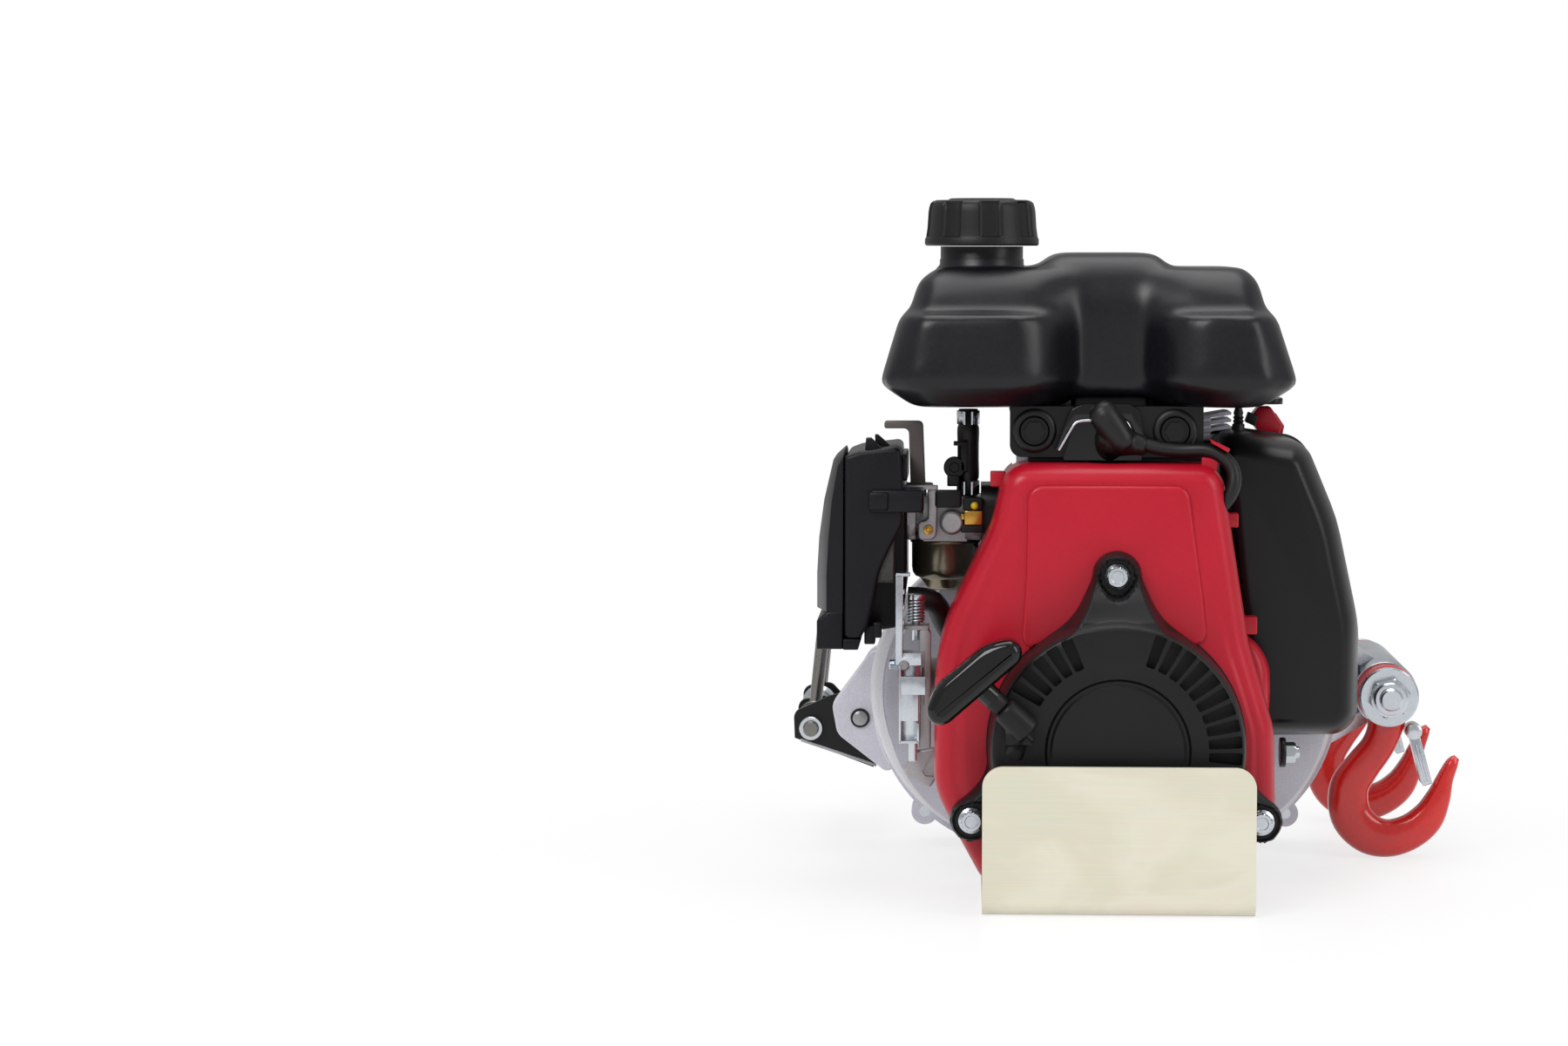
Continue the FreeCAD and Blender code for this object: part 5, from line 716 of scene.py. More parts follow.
# heat shield: folded tinplate hood behind the elbow, its raw edge left bright
shield = {"front": 3.0, "rear": 8.6, "backing": [(8.7, 0), (7.8, 0)], "rim": 0.8}
hood = rounded([(-30, 219.5), (-22.4, 239.6), (-16, 242.6), (6, 242.6), (11.4, 239.6), (15, 221),
                (12.4, 219.5), (6.4, 234.6), (-19, 234.6), (-22, 231.6), (-27, 219.5)],
               [0.8, 4, 3, 3, 4, 0.8, 0.8, 3, 2.6, 3, 0.8], 15)
backing = rounded([(-26, 214.6), (-20, 234), (8, 234), (13, 214.6)], [1, 3, 3, 1], 15)
newPiece("heatHood", [slab(hood, (shield["front"], 0.5, 2), (shield["rear"], 0.4, 2)),
                      ringBody(backing, shield["backing"])], nylonGloss, "black_sheet", "heat_shield")
rimRoute = [(-28, 2.6, 219.8), (-26.4, 2.4, 222.6), (-22.6, 2.3, 229.4), (-20.6, 2.3, 232.8),
            (-18, 2.3, 234.2), (-10, 2.3, 234.6), (0, 2.3, 234.6), (4.4, 2.3, 234.2), (6, 2.3, 232.4),
            (7.4, 2.4, 228.4), (8.6, 2.5, 225.4), (9.4, 2.6, 222.6)]
newLine("hoodRim", rimRoute, shield["rim"], zincClear, "zinc_steel")
print("elbow, bushes and shield made")

crankPlace = Vector((0, 77))
coverBolts = [(0, 160), (-70.4, 40.4), (70.4, 40.4)]


def atDepth(path, depth):
    return [(p.x, depth, p.y) for p in path]


# fan shroud: thick-edged moulding, its front drawn in to the fan's mouth
shroud = {"front": -17, "walls": (46, 30, 16, 2), "sheet": 2.4, "roll": 13, "rollSteps": 10, "lap": 9,
          "dip": 1.2, "mouth": 59.5, "spans": 30, "pointGap": 2.2,
          "outline": [(-54, 213.4), (-60.5, 183), (-88.6, 124), (-88.8, 54), (-78.4, 33), (-63.4, 5.6),
                      (52, 5.6), (78.6, 40), (77.6, 84), (65, 126), (51, 213.4)],
          "radii": [13, 45, 105, 40, 20, 14, 14, 14, 40, 60, 13],
          "plugRoom": [(13, -12), (13, 32)], "leadRoom": 1.2}
shroudOutline = rounded(shroud["outline"], shroud["radii"], 3)
dense = []
for a, b in zip(shroudOutline, shroudOutline[1:] + shroudOutline[:1]):
    pieces = max(1, int((b - a).length / shroud["pointGap"]))
    dense += [a.lerp(b, i / pieces) for i in range(pieces)]
frontEdge = shroud["front"] + shroud["roll"]
rings = [atDepth(dense, depth) for depth in shroud["walls"]]
for i in range(shroud["rollSteps"] + 1):
    turn = math.pi / 2 * i / shroud["rollSteps"]
    depth = frontEdge - (shroud["roll"] - shroud["dip"]) * math.sin(turn)
    rings.append(atDepth(inset(dense, shroud["lap"] * (1 - math.cos(turn))), depth))
edge = inset(dense, shroud["lap"])
mouth = [crankPlace + (p - crankPlace).normalized() * shroud["mouth"] for p in edge]
for i in range(1, shroud["spans"] + 1):
    share = i / shroud["spans"]
    depth = shroud["front"] + shroud["dip"] * (1 - ease(share * 3))
    rings.append(atDepth([a.lerp(b, share) for a, b in zip(edge, mouth)], depth))
shroudSkin = thickened(bridged(rings, False, False), shroud["sheet"])
# room for cylinder block, crankcase, plug elbow and lead
leadRoom = nurbs("leadRoom", lead["route"][3:9], lead["radius"] + shroud["leadRoom"])
leadTool = bpy.data.objects.new("leadRoom", leadRoom)
bpy.context.collection.objects.link(leadTool)
for room in (hullOf(block(-50.5, 50.5, 27.6, 60, 131, 240)),
             hullOf(block(-56.5, 56.5, 21.5, 60, -5, 131.5)),
             lathe(shroud["plugRoom"], plugFoot, 40, plugAxis), evaluated(leadTool)):
    shroudSkin = carved(shroudSkin, room)
# moulded posts under the starter's three bolts, clip tabs, lead keepers and the pocket on the right
posts = [lathe([(3.1, -16), (9.0, -16), (9.0, rear), (3.1, rear)], (x, 0, z), 40)
         for (x, z), rear in zip(coverBolts, (29.9, 21.9, 21.9))]
tabs = bars((50, 61, 16, 26, 181, 188, 0.8), (58, 70.6, 16, 28, 128, 136.6, 0.8),
            (-61.5, -54, 14, 24, 201, 208.5, 0.8))
tabs += [prism([(41, 206), (47.5, 204), (41.5, 217), (50.2, 216)], -4, 3),
         prism([(45, 226), (46, 224), (55, 221.2), (54, 219.4)], -9, 0, 0.5)]
# the raised middle panel ends on an arc that the starter cover hides
panel = {"arc": 59, "arcTurns": range(128, 50, -6), "foot": [(-14, 0), (-16.4, 0)], "face": -18.9,
         "edge": 2.2}
panelArc = [crankPlace + heading(math.radians(turn)) * panel["arc"] for turn in panel["arcTurns"]]
panelPath = rounded([(34.5, 203.5), (-43.4, 203.5), (-44.2, 160), (-46.4, 124)] + [tuple(p) for p in panelArc]
                    + [(44.6, 124), (42, 150)], [7, 7, 60, 7] + [20] * len(panelArc) + [7, 60])
panelSkin = ringBody(panelPath, panel["foot"] + roll(panel["face"], panel["edge"], -1, 6))
pocket = sweep([(62, 126.6, 2, 6), (66.4, 120, 5.4, 11), (69.6, 111, 7.4, 14), (71, 100, 7, 15),
                (72.6, 90, 5, 12), (74, 81, 2, 6)], 29, 28, 2.4)
newPiece("fanShroud", [shroudSkin, panelSkin, pocket] + posts + tabs, absRed, "red_shell", "fan_shroud",
         sharp=32)
print("shroud moulded")

# starter cover: slotted dish, three bolt ears that flow out of it, a grooved hub and the cord's guide boss
sideTops = [(0, 28.5), (54, 28), (64, 19), (70, 13), (120, 12)]
topTops = [(0, 30), (58, 30), (66, 27.4), (73, 20), (78, 13.6), (120, 12.6)]
cover = {"base": -17, "rim": 67, "wall": 2.0, "steps": 480, "flow": 15, "fillet": 9, "blend": 3, "lip": 2.2,
         "ears": list(zip(coverBolts, (12.0, 10.6, 10.6), (58, 30, 30), (topTops, sideTops, sideTops))),
         "earThick": 8, "earLip": 3.4, "earStart": 42, "earTaper": 1.2, "seat": 8.4, "seatEdge": 1.2,
         "dish": [(0, 30), (58.8, 30), (61, 29.4), (62.8, 27.8), (64.2, 25), (65.2, 21), (66, 14), (66.6, 7),
                  (67, 0)],
         "hub": 31.5, "hubEdge": 1.4, "hubRise": 1.6, "groove": 34.6, "grooveHalf": 0.6, "grooveDepth": 0.9,
         "slots": [(-3, 8.1, 10), (115, 8, 5)], "slotInner": 43.5, "slotOuter": 59.6, "drawIn": 4.2,
         "drawEnd": 12, "slotDepths": (-56, -38), "slotHalves": (1.9, 2.3, 3.0, 2.6), "search": (60, 125),
         "halvings": 26, "outerRows": 34, "lastRows": [0.985, 0.995, 1.0], "least": 0.5}


def earReading(p, ear):
    # distance inside the ear's outline, its top height there, and the distance from its bolt
    place, tip, root, tops = ear
    reach = Vector(place) - crankPlace
    away = (p - crankPlace).dot(reach.normalized())
    aside = abs((p - crankPlace).cross(reach.normalized()))
    fromBolt = (p - Vector(place)).length
    if away > reach.length:
        return tip - fromBolt, between(tops, away), fromBolt
    half = tip + (root - tip) * (1 - clamp(away / reach.length)) ** cover["earTaper"]
    return min(half - aside, away - cover["earStart"]), between(tops, away), fromBolt


def coverInside(p):
    inside = cover["rim"] - (p - crankPlace).length
    for ear in cover["ears"]:
        inside = softMax(inside, earReading(p, ear)[0], cover["flow"])
    return inside


def lip(p, radius):
    # quarter-round rise from the cover's outline
    return math.sqrt(1 - (1 - clamp(coverInside(p) / radius)) ** 2)


def coverHeight(p):
    r = (p - crankPlace).length
    height = softMax(cover["earThick"] * lip(p, cover["lip"]), between(cover["dish"], r), cover["blend"])
    for ear in cover["ears"]:
        inside, top, fromBolt = earReading(p, ear)
        if inside > -cover["fillet"]:
            share = ease(1 + inside / cover["fillet"])
            height = softMax(height, top * share * lip(p, cover["earLip"]), cover["blend"])
        height += (cover["earThick"] - height) * (1 - ease((fromBolt - cover["seat"]) / cover["seatEdge"]))
    height += cover["hubRise"] * (1 - ease((r - cover["hub"]) / cover["hubEdge"]))
    return height - cover["grooveDepth"] * clamp(1 - abs(r - cover["groove"]) / cover["grooveHalf"])


def coverReach(turn):
    # direction of a spoke, and the outline's distance along it
    low, high = cover["search"]
    ray = heading(turn)
    for _ in range(cover["halvings"]):
        middle = (low + high) / 2
        if coverInside(crankPlace + ray * middle) > 0:
            low = middle
        else:
            high = middle
    return ray, low


spokes = [coverReach(2 * math.pi * i / cover["steps"]) for i in range(cover["steps"])]
rim = cover["rim"]
radial = [0.4, 8, 16, 24, 29, 31, 31.6, 32.2, 32.8, 33.4, 33.9, 34.2, 34.6, 35, 35.3, 36, 39, 42, 46, 50, 53,
          55, 57, 58.4, 59.4, 60.3, 61.1, 61.8, 62.4, 63, 63.5, 64, 64.4, 64.8, 65.2, 65.5, 65.8, 66.1, 66.4,
          66.7]
rows = [[crankPlace + ray * r for ray, reach in spokes] for r in radial]
for share in [i / cover["outerRows"] for i in range(cover["outerRows"])] + cover["lastRows"]:
    rows.append([crankPlace + ray * (rim + max(reach - rim, cover["least"]) * share) for ray,
                 reach in spokes])
rings = [[(p.x, cover["base"] - coverHeight(p), p.y) for p in row] for row in rows]
rings.append([(x, cover["base"], z) for x, y, z in rings[-1]])
coverSkin = bridged(rings, False, False)
tool = bmesh.new()
tool.from_mesh(coverSkin)
hubEdges = [e for e in tool.edges if e.is_boundary and e.verts[0].co.y < -40 * mm]
bmesh.ops.holes_fill(tool, edges=hubEdges, sides=0)
bmesh.ops.recalc_face_normals(tool, faces=tool.faces)
if sum(f.normal.y * f.calc_area() for f in tool.faces) > 0:
    bmesh.ops.reverse_faces(tool, faces=tool.faces)
tool.to_mesh(coverSkin)
tool.free()
coverSkin = thickened(coverSkin, cover["wall"])
wedges = []
inner, outer = cover["slotInner"], cover["slotOuter"]
for start, step, count in cover["slots"]:
    for i in range(count):
        ray = heading(math.radians(start + step * i))
        side = Vector((-ray.y, ray.x))
        outline = [crankPlace + ray * r + side * (half * sign) for sign in (-1, 1)
                   for r, half in zip((inner, inner + 1, outer - 1, outer), cover["slotHalves"])]
        wedges.append(hullOf(upright(outline, *cover["slotDepths"])))
coverSkin = carved(coverSkin, joined(wedges))
# the rim is drawn in to the slots' outer ends, the ears stay where their bolts are
for corner in coverSkin.vertices:
    p = Vector((corner.co.x, corner.co.z)) / mm - crankPlace
    r = p.length
    if r > outer:
        fade = 1 - ease((r - rim) / cover["drawEnd"])
        drawn = cover["drawIn"] * clamp((r - outer) / (rim - outer)) * fade
        corner.co.x, corner.co.z = (crankPlace + p * (1 - drawn / r)) * mm
# the boss stands on the dish's shoulder, bored for the cord
boss = {"foot": eye - pull * 8.5, "voxel": 0.9, "passes": 6}
bossParts = [lathe([(3, 0), (6.8, 0), (7.2, 0.8), (7, 9), (6.8, 14), (6.4, 16.4), (5.8, 17), (3, 17)],
                   boss["foot"], 40, pull),
             hullOf(block(-54, -41, -55, -40, 81, 91)),
             hullOf([(-57, -44, 73), (-47, -44, 69), (-41, -44, 88), (-51, -44, 94), (-51, -52, 80),
                     (-45, -52, 78), (-43, -52, 88), (-49, -52, 91)])]
bossBore = lathe([(2.9, -4), (2.9, 15), (5.4, 18), (5.4, 22)], boss["foot"], 32, pull)
bossSkin = carved(melted(bossParts, boss["voxel"], boss["passes"]), bossBore)
# dark disc behind the slots: painted shade, it blacks out the fan and shroud behind them as shadow would
slotShadeDisc = lathe([(36, -37.5), (60, -37.5), (60, -36.3), (36, -36.3)], (0, 0, 77), 72)
newPiece("starterCover", [coverSkin, bossSkin, slotShadeDisc], nylonCover, "black_cover", "recoil_cover", sharp=36)
print("starter cover moulded")

# flange bolts of the starter cover, and the plain bolt on the shroud's right side
flangeBolt = {"seat": -25, "hexStart": 2.04, "flat": 4.55, "side": (83.75, 38, 66.7), "sideStart": 3.005,
              "profile": [(3, 0), (6.5, 0), (6.6, 0.5), (6.3, 1.1), (5.0, 1.9), (4.9, 2.0), (5.3, 2.05),
                          (5.3, 5.2), (4.55, 5.9), (3.2, 5.91), (2.9, 5.5), (0.6, 5.51)],
              "sideProfile": [(3, 3), (5.3, 3.01), (5.3, 7.2), (4.6, 8.0), (3.1, 8.01)]}
heads = [hexBolt((x, flangeBolt["seat"], z), frontAxis, flangeBolt["profile"], flangeBolt["hexStart"],
                 flangeBolt["flat"]) for x, z in coverBolts]
heads += [hexBolt(flangeBolt["side"], rightAxis, flangeBolt["sideProfile"], flangeBolt["sideStart"],
                  flangeBolt["flat"]),
          lathe([(3, 7.6), (3, 9.6), (2.6, 10), (0.5, 10.01)], flangeBolt["side"], 32, rightAxis)]
newPiece("flangeBolts", heads, zincClear, "zinc_steel", "flange_bolts", sharp=28)
newPiece("sideWasher", lathe([(3.2, 0), (7.2, 0), (7.5, 0.4), (7.5, 2.4), (7.1, 2.9), (3.2, 2.9)],
                             flangeBolt["side"], 56, rightAxis), dipBlack, "black_sheet")

# air cleaner: flat-sided case, with the lid's curved edge meeting it in a fine seam
caseOutline = rounded([(-133.9, 215.2), (-127, 217.8), (-106, 220.2), (-104.6, 199.6), (-104.8, 182),
                       (-111, 170), (-116.3, 158.6), (-119, 143.5), (-122, 131), (-126, 124.5),
                       (-133.9, 124.5)], [3.4, 8, 3, 30, 8, 40, 30, 40, 8, 4, 3])
caseDeep = rounded([(-126, 125), (-106, 128), (-103.2, 150), (-103.2, 199), (-126, 199)], [3, 6, 20, 3, 3],
                   12)
caseParts = [slab(caseOutline, (20, 2.2), (112, 3)), slab(caseDeep, (46, 2), (110, 2)),
             prism([(-124, 217), (-114, 217.6), (-123.4, 224), (-121, 224)], 30, 42, 0.5),
             prism([(-119, 218), (-111, 219), (-119.4, 225), (-118, 225)], 48, 56, 0.5)]
caseParts += bars((-121, -94.5, 17, 46, 187.8, 199, 1.6), (-121.6, -112, 15.4, 30, 189, 198, 1.2),
                  (-124, -118.6, 24, 40, 121.4, 131, 1.2),
                  (-119.6, -115.4, 24, 36, 124.6, 132.6, 1.0), (-106, -102.8, 26, 90, 203, 216, 1.2))
newPiece("cleanerCase", caseParts, ppCleaner, "black_moulding", "air_cleaner_case")
lidEdge = [(-134.5, 215.0), (-137.2, 210.4), (-140.1, 193), (-141.8, 173.7), (-142.7, 156), (-142.7, 138),
           (-134.5, 137)]
lidBulge = [(-134.5, 218.0), (-140, 213), (-144.6, 193), (-147.2, 173.7), (-148.2, 156), (-148.2, 138),
            (-134.5, 137)]
lidFoot = [(-134.5, 138.5), (-142.5, 138.5), (-147.6, 133.4), (-147.6, 119.2), (-134.5, 119.2)]
footLip = [(-134.5, 124.3), (-134.5, 119), (-127, 119), (-125.4, 124.3)]
newPiece("cleanerLid", [softBlock(upright(lidEdge, 20.4, 111.6) + upright(lidBulge, 44, 88), 2.2),
                        prism(lidFoot, 20.2, 111.8, 1.6), prism(footLip, 20.2, 111.8, 0.6)],
         ppCleaner, "black_moulding", "air_cleaner_cover", body="cleaner_lid")
print("bolts and air cleaner made")

# carburettor: stamped lever plate, solenoid block, a bead of seal paint and a cable clip on the cast body
plate = rounded([(-97.6, 172.3), (-88.2, 172.3), (-87.6, 198.4), (-92.9, 198.4), (-92.5, 182.2),
                 (-97.6, 181.6)], [2.4, 3.4, 2, 2, 2.4, 2], 12)
barrel = lathe([(2, 49), (6.2, 49), (6.2, 46), (5.4, 44.6), (5.4, 43.2), (4.6, 42.4), (1.6, 42.4)],
               (-80.6, 0, 181), 48)
newPiece("carbFittings", [slab(plate, (44, 0.9, 4), (47.9, 0.6, 3)),
                          softBlock(block(-106, -87.6, 43, 49, 197.6, 199.8), 0.6), barrel],
         castPale, "cast_aluminium")
newPiece("carbScrew", lathe([(0.6, 44.2), (1.9, 44.2), (2.5, 43.2), (2.3, 42.5), (1.1, 42.2), (0.9, 42.6),
                             (0.3, 42.6)], (-92.4, 0, 177.4), 32), brassTurned, "machined_steel")
newPiece("fuelValve", bars((-74.4, -65.2, 42, 49, 180, 187.2, 0.6),
                           (-76, -74, 43.4, 47, 182.4, 185.4, 0.4)), brassTurned, "machined_steel")
newPiece("sealBead", lathe([(0.4, 45), (1.9, 45), (2.0, 44), (1.7, 42.6), (1.0, 41.9), (0.2, 41.7)],
                           (-69.2, 0, 189.6), 28), sealPaint, "machined_steel", sharp=None)
clipRing = lathe([(2.2, 56), (5.0, 56), (5.4, 55.4), (5.4, 50.6), (5.0, 50), (2.6, 50), (2.2, 50.6)],
                 (-79.4, 0, 208.4), 40)
clipParts = bars((-83, -76.6, 49, 57, 199, 204.6, 0.8), (-76, -72.6, 50, 56, 206, 222, 0.7),
                 (-79.8, -74.6, 50.4, 55.6, 219.4, 221.6, 0.5),
                 (-89, -75.6, 42.6, 49, 188.6, 197.4, 1.2), (-76, -64.6, 43, 50, 176, 180, 0.8),
                 (-75, -65, 43.6, 49, 187.2, 193.6, 0.8))
newPiece("cableClip", [clipRing] + clipParts, nylonCover, "black_moulding")
bowlProfile = [(4, 171), (17.4, 171), (17.7, 170.7), (17.7, 169.7), (17, 169.3), (16.9, 157), (16.5, 154.4),
               (15.2, 152.4), (12.9, 151.5), (12.4, 151), (11.8, 150.2), (9.6, 147), (8.6, 145.9), (7, 145.2),
               (1, 145)]
newPiece("floatBowl", lathe(bowlProfile, (-84, 70, 0), 80, upAxis), zincOlive, "zinc_steel",
         "float_bowl", sharp=60)
print("carburettor dressed")

# throttle bracket: stamped channel on an arm, with the tab that holds the idle screw
channel = [(-96.4, 70.6), (-90.6, 70.6), (-90.6, 128), (-92.4, 130.8), (-95, 130.8), (-96.4, 129)]
bracketParts = [prism(channel, 14.4, 24, 1.2),
                lathe([(0.6, 5.6), (2.2, 5.6), (2.8, 6.2), (2.8, 16), (0.6, 16)], (-104, 0, 113), 32)]
bracketParts += bars((-104.2, -91.6, 14.2, 28, 129.6, 131.8, 0.7),
                     (-107.4, -93.6, 14.2, 16, 105.6, 119.6, 0.6),
                     (-95.4, -93.6, 14.2, 55, 92, 112, 0.6), (-95.4, -56.1, 53, 55, 92, 112, 0.6))
newPiece("throttleBracket", bracketParts, zincDull, "zinc_steel", "throttle_bracket")

# throttle lever: ridged upright, cable clip folded from thin sheet, threaded stud, cast foot
# first the upright and its fold, then the clip's wall, face, ear, back, floor and side, last the shank
leverParts = bars((-108, -104.4, 5.8, 13.6, 113, 158, 0.6), (-108, -101, 5.8, 13.6, 157, 158.6, 0.5),
                  (-106.3, -105.2, 4.8, 12, 74.4, 112.4, 0.3),
                  (-105.4, -96.6, 4.8, 6, 85.4, 99, 0.3),
                  (-105.2, -93.2, 4.6, 5.8, 98.4, 107.4, 0.3),
                  (-105.4, -96.4, 11, 12.2, 75, 112.4, 0.3),
                  (-106.2, -96.4, 4.8, 12, 74.2, 75.4, 0.3),
                  (-97.4, -96.4, 4.8, 12, 74.4, 84, 0.3),
                  (-101.6, -97.4, 11.6, 13.6, 64.4, 86, 0.4),
                  (-101.4, -97.6, 12.3, 53.4, 64.8, 68.4, 0.4),
                  (-101.1, -97.9, 48.6, 53.0, 60, 68.0, 0.4))
leverParts += bars(*[(-104.8, -103.5, 6.8, 12.8, z, z + 2.4, 0.6) for z in (133, 140.5, 148)])
thread = [(2.3 + j * 0.45, -111 + j * 0.38 + i * 0.75) for i in range(9) for j in (0, 1)]
leverParts.append(lathe([(1.2, -111.2)] + thread + [(2.3, -104.2), (0.6, -104.1)], (0, 9, 113), 32,
                        rightAxis))
leverParts.append(lathe([(0.6, -105.4), (3.1, -105.4), (3.5, -105), (3.5, -95.4), (3.1, -95), (0.6, -95)],
                        (0, 9, 115.4), 6, rightAxis))
newPiece("throttleLever", leverParts, zincClear, "zinc_steel", "throttle_lever", body="throttle", sharp=35)
footOutline = rounded([(-100, 64.7), (-88.6, 66.6), (-87.4, 52), (-91.2, 46.2), (-103.6, 52.4), (-104.2, 56)],
                      [1.6, 1.2, 4, 1.4, 2.4, 2.4], 12)
recess = [(-95.2, 54.8), (-90.4, 63.6), (-89, 63.6), (-88.8, 52), (-93.6, 52.2)]
newPiece("leverFoot", carved(slab(footOutline, (47.6, 1.0, 4), (54.4, 0.6, 3)),
                             hullOf(upright(recess, 46, 48.8))), castPale, "zinc_steel", body="throttle")
print("throttle stamped")

# stop switch: tilted red block with a black tab, a rubber nipple and the head's fins beside it
switchBlock = [(73, 230.6), (78, 236.4), (84, 236.4), (90.2, 227.6), (88.6, 222), (78.6, 222)]
switchLip = [(84.6, 231.6), (87, 233), (91.4, 226.4), (90.6, 222.4), (87, 222.4)]
newPiece("stopSwitch", [prism(switchBlock, 120, 136, 1.0), prism(switchLip, 122, 134, 0.7)],
         absRed, "red_shell", "stop_switch")
rocker = [(70.4, 228.8), (72.2, 234), (77.4, 232), (75.8, 226.4)]
newPiece("stopRocker", prism(rocker, 114.6, 122, 0.7), nylonCover, "black_moulding", "stop_rocker",
         body="rocker")
nippleProfile = [(0.6, 225), (3.2, 225), (3.2, 228), (2.3, 228.6), (2.9, 229.6), (2.2, 230.6), (2.8, 231.6),
                 (2.1, 232.6), (2.6, 233.8), (1.9, 236), (1.6, 238), (0.5, 238)]
newPiece("rubberNipple", lathe(nippleProfile, (66.4, 105, 0), 32, upAxis), rubberBlack,
         "black_rubber", sharp=60)
fins = [prism([(43, z), (43, z + 1.7), (60, z + 4.6), (62.4, z + 4.2), (62.4, z + 2.8)], 98, 126, 0.4)
        for z in (216, 219.6, 223.2, 226.8, 230.4)]
newPiece("headFins", fins + bars((42, 52, 100, 124, 214, 232, 0.8)), castGrey, "cast_aluminium")
# dark blocks behind the heat hood and in front of the block top: painted shade, black sheet standing where
# the tank's recess lies in shadow
newPiece("hoodShadeFill", bars((-21, 17, 24, 60, 228, 247, 2), (22, 53, 34, 58, 204, 223, 2),
                          (-43, 48, 23.6, 27.2, 206, 220, 0.8)), dipBlack, "black_sheet")
print("switch and head made")

# muffler: pressed can behind its guard, with the exhaust port
canPort = lathe([(4, 43.1), (12.6, 43.1), (13, 43.6), (13, 62), (4, 62)], (0, 70, 180), 56, rightAxis)
newPiece("mufflerCan", [slab(inset(guardOutline, 6.6), (57, 4.6), (105.6, 4.6)), canPort], groundSteel,
         "machined_steel", "muffler_body", sharp=45)

# anchor: thick washers, locknut, spacer tube between the hooks
anchor = {"x": hook["x"], "z": hook["z"], "flat": 9.5, "front": 122.3, "rear": 275.7, "washer": 3.4}
anchorLine = (anchor["x"], 0, anchor["z"])
anchorParts = [lathe([(6.4, y), (14.6, y), (15.5, y + 0.7), (15.5, y + 2.7), (14.6, y + 3.4), (6.4, y + 3.4)],
                     anchorLine, 72) for y in (anchor["front"], anchor["rear"] - anchor["washer"])]
nutProfile = [(6, 0), (9.6, 0), (10.9, 0.7), (10.9, 5.6), (9.9, 6.4), (8.8, 6.6), (8.7, 9.0), (7.9, 9.8),
              (6.3, 9.9)]
headProfile = [(2, 0), (9.5, 0), (10.9, 0.4), (10.9, 4.6), (9.8, 5.5), (3, 5.6)]
for depth, axis, profile in ((anchor["front"], frontAxis, nutProfile),
                             (anchor["rear"], depthAxis, headProfile)):
    anchorParts.append(hexBolt((anchor["x"], depth, anchor["z"]), axis, profile, 0, anchor["flat"]))
thread = [(6 - j * 0.6, 110.4 + j * 0.45 + i * 0.9) for i in range(3) for j in (0, 1)]
anchorParts.append(lathe([(2, 109), (4.9, 109), (5.7, 109.8)] + thread + [(6, 113.4), (6, 277), (2, 277)],
                         anchorLine, 48))
newPiece("anchorBolt", anchorParts, zincClear, "zinc_steel", "anchor_bolt", sharp=35)
newPiece("anchorTube", lathe([(14.6, 142.2), (16.2, 142.2), (16.6, 142.8), (16.6, 255.2), (16.2, 255.8),
                              (14.6, 255.8)], anchorLine, 72), zincClear, "zinc_steel")

# safety latches: folded strip with pressed ridges and a riveted pivot
latch = {"strip": [(157.4, 67.6), (163.2, 66.4), (170.4, 39.2), (166, 37.6), (164.6, 39.4)], "half": 5,
         "ridgeHalf": 5.7, "ridges": (0.34, 0.66), "ridgeSpan": (0.26, 0.94), "pivot": (160.5, 66.5),
         "rivet": [(0.5, 7.6), (2.4, 7.6), (4.1, 6.8), (4.4, 5)]}
for side, middle in hook["sides"].items():
    latchParts = [prism(latch["strip"], middle - latch["half"], middle + latch["half"], 0.7)]
    for share in latch["ridges"]:
        a = Vector(latch["strip"][0]).lerp(Vector(latch["strip"][1]), share)
        b = Vector(latch["strip"][3]).lerp(Vector(latch["strip"][2]), share)
        ridge = [(p.x + d, p.y) for p in (a.lerp(b, end) for end in latch["ridgeSpan"]) for d in (-0.6, 0.6)]
        latchParts.append(prism(ridge, middle - latch["ridgeHalf"], middle + latch["ridgeHalf"], 0.35))
    rivet = [(r, -h) for r, h in latch["rivet"]] + list(reversed(latch["rivet"]))
    latchParts.append(lathe(rivet, (latch["pivot"][0], middle, latch["pivot"][1]), 40))
    newPiece("latch" + side, latchParts, zincClear, "zinc_steel", side.lower() + "_latch",
             body="latch_" + side.lower(), sharp=35)
print("anchor and latches made")

# gear flange: rolled edge that catches the light, coloured lighter than the casting as a painted highlight,
# and the plate on its left ear
rim = {"arcs": [((-41.6, 84.6), 82.2, 90), ((40, 82), 82.4, -90)], "steps": 96, "front": 140.2, "rear": 148,
       "edge": 3.6, "width": 6.6, "weld": 0.002}
rimOutline = [Vector(centre) + heading(math.radians(start) + math.pi * i / rim["steps"]) * radius
              for centre, radius, start in rim["arcs"] for i in range(rim["steps"] + 1)]
rimRings = [(rim["rear"], 0)] + roll(rim["front"], rim["edge"], -1, 6)
rimRings += [(rim["front"], rim["width"]), (rim["rear"], rim["width"]), (rim["rear"], 0)]
flangeRim = ringBody(rimOutline, rimRings, facing, False, False)
newPiece("flangeRim", outward(flangeRim, rim["weld"]), castPaintedHighlight, "cast_aluminium", sharp=50)
earOutline = rounded([(-122.4, 107), (-144.4, 77), (-141.5, 61), (-113, 38.9), (-106, 60), (-108, 104)],
                     [6, 8, 9, 4, 4, 4])
newPiece("earPlate", slab(earOutline, (147.9, 1.2, 4), (156, 1, 3)), castGrey, "cast_aluminium")
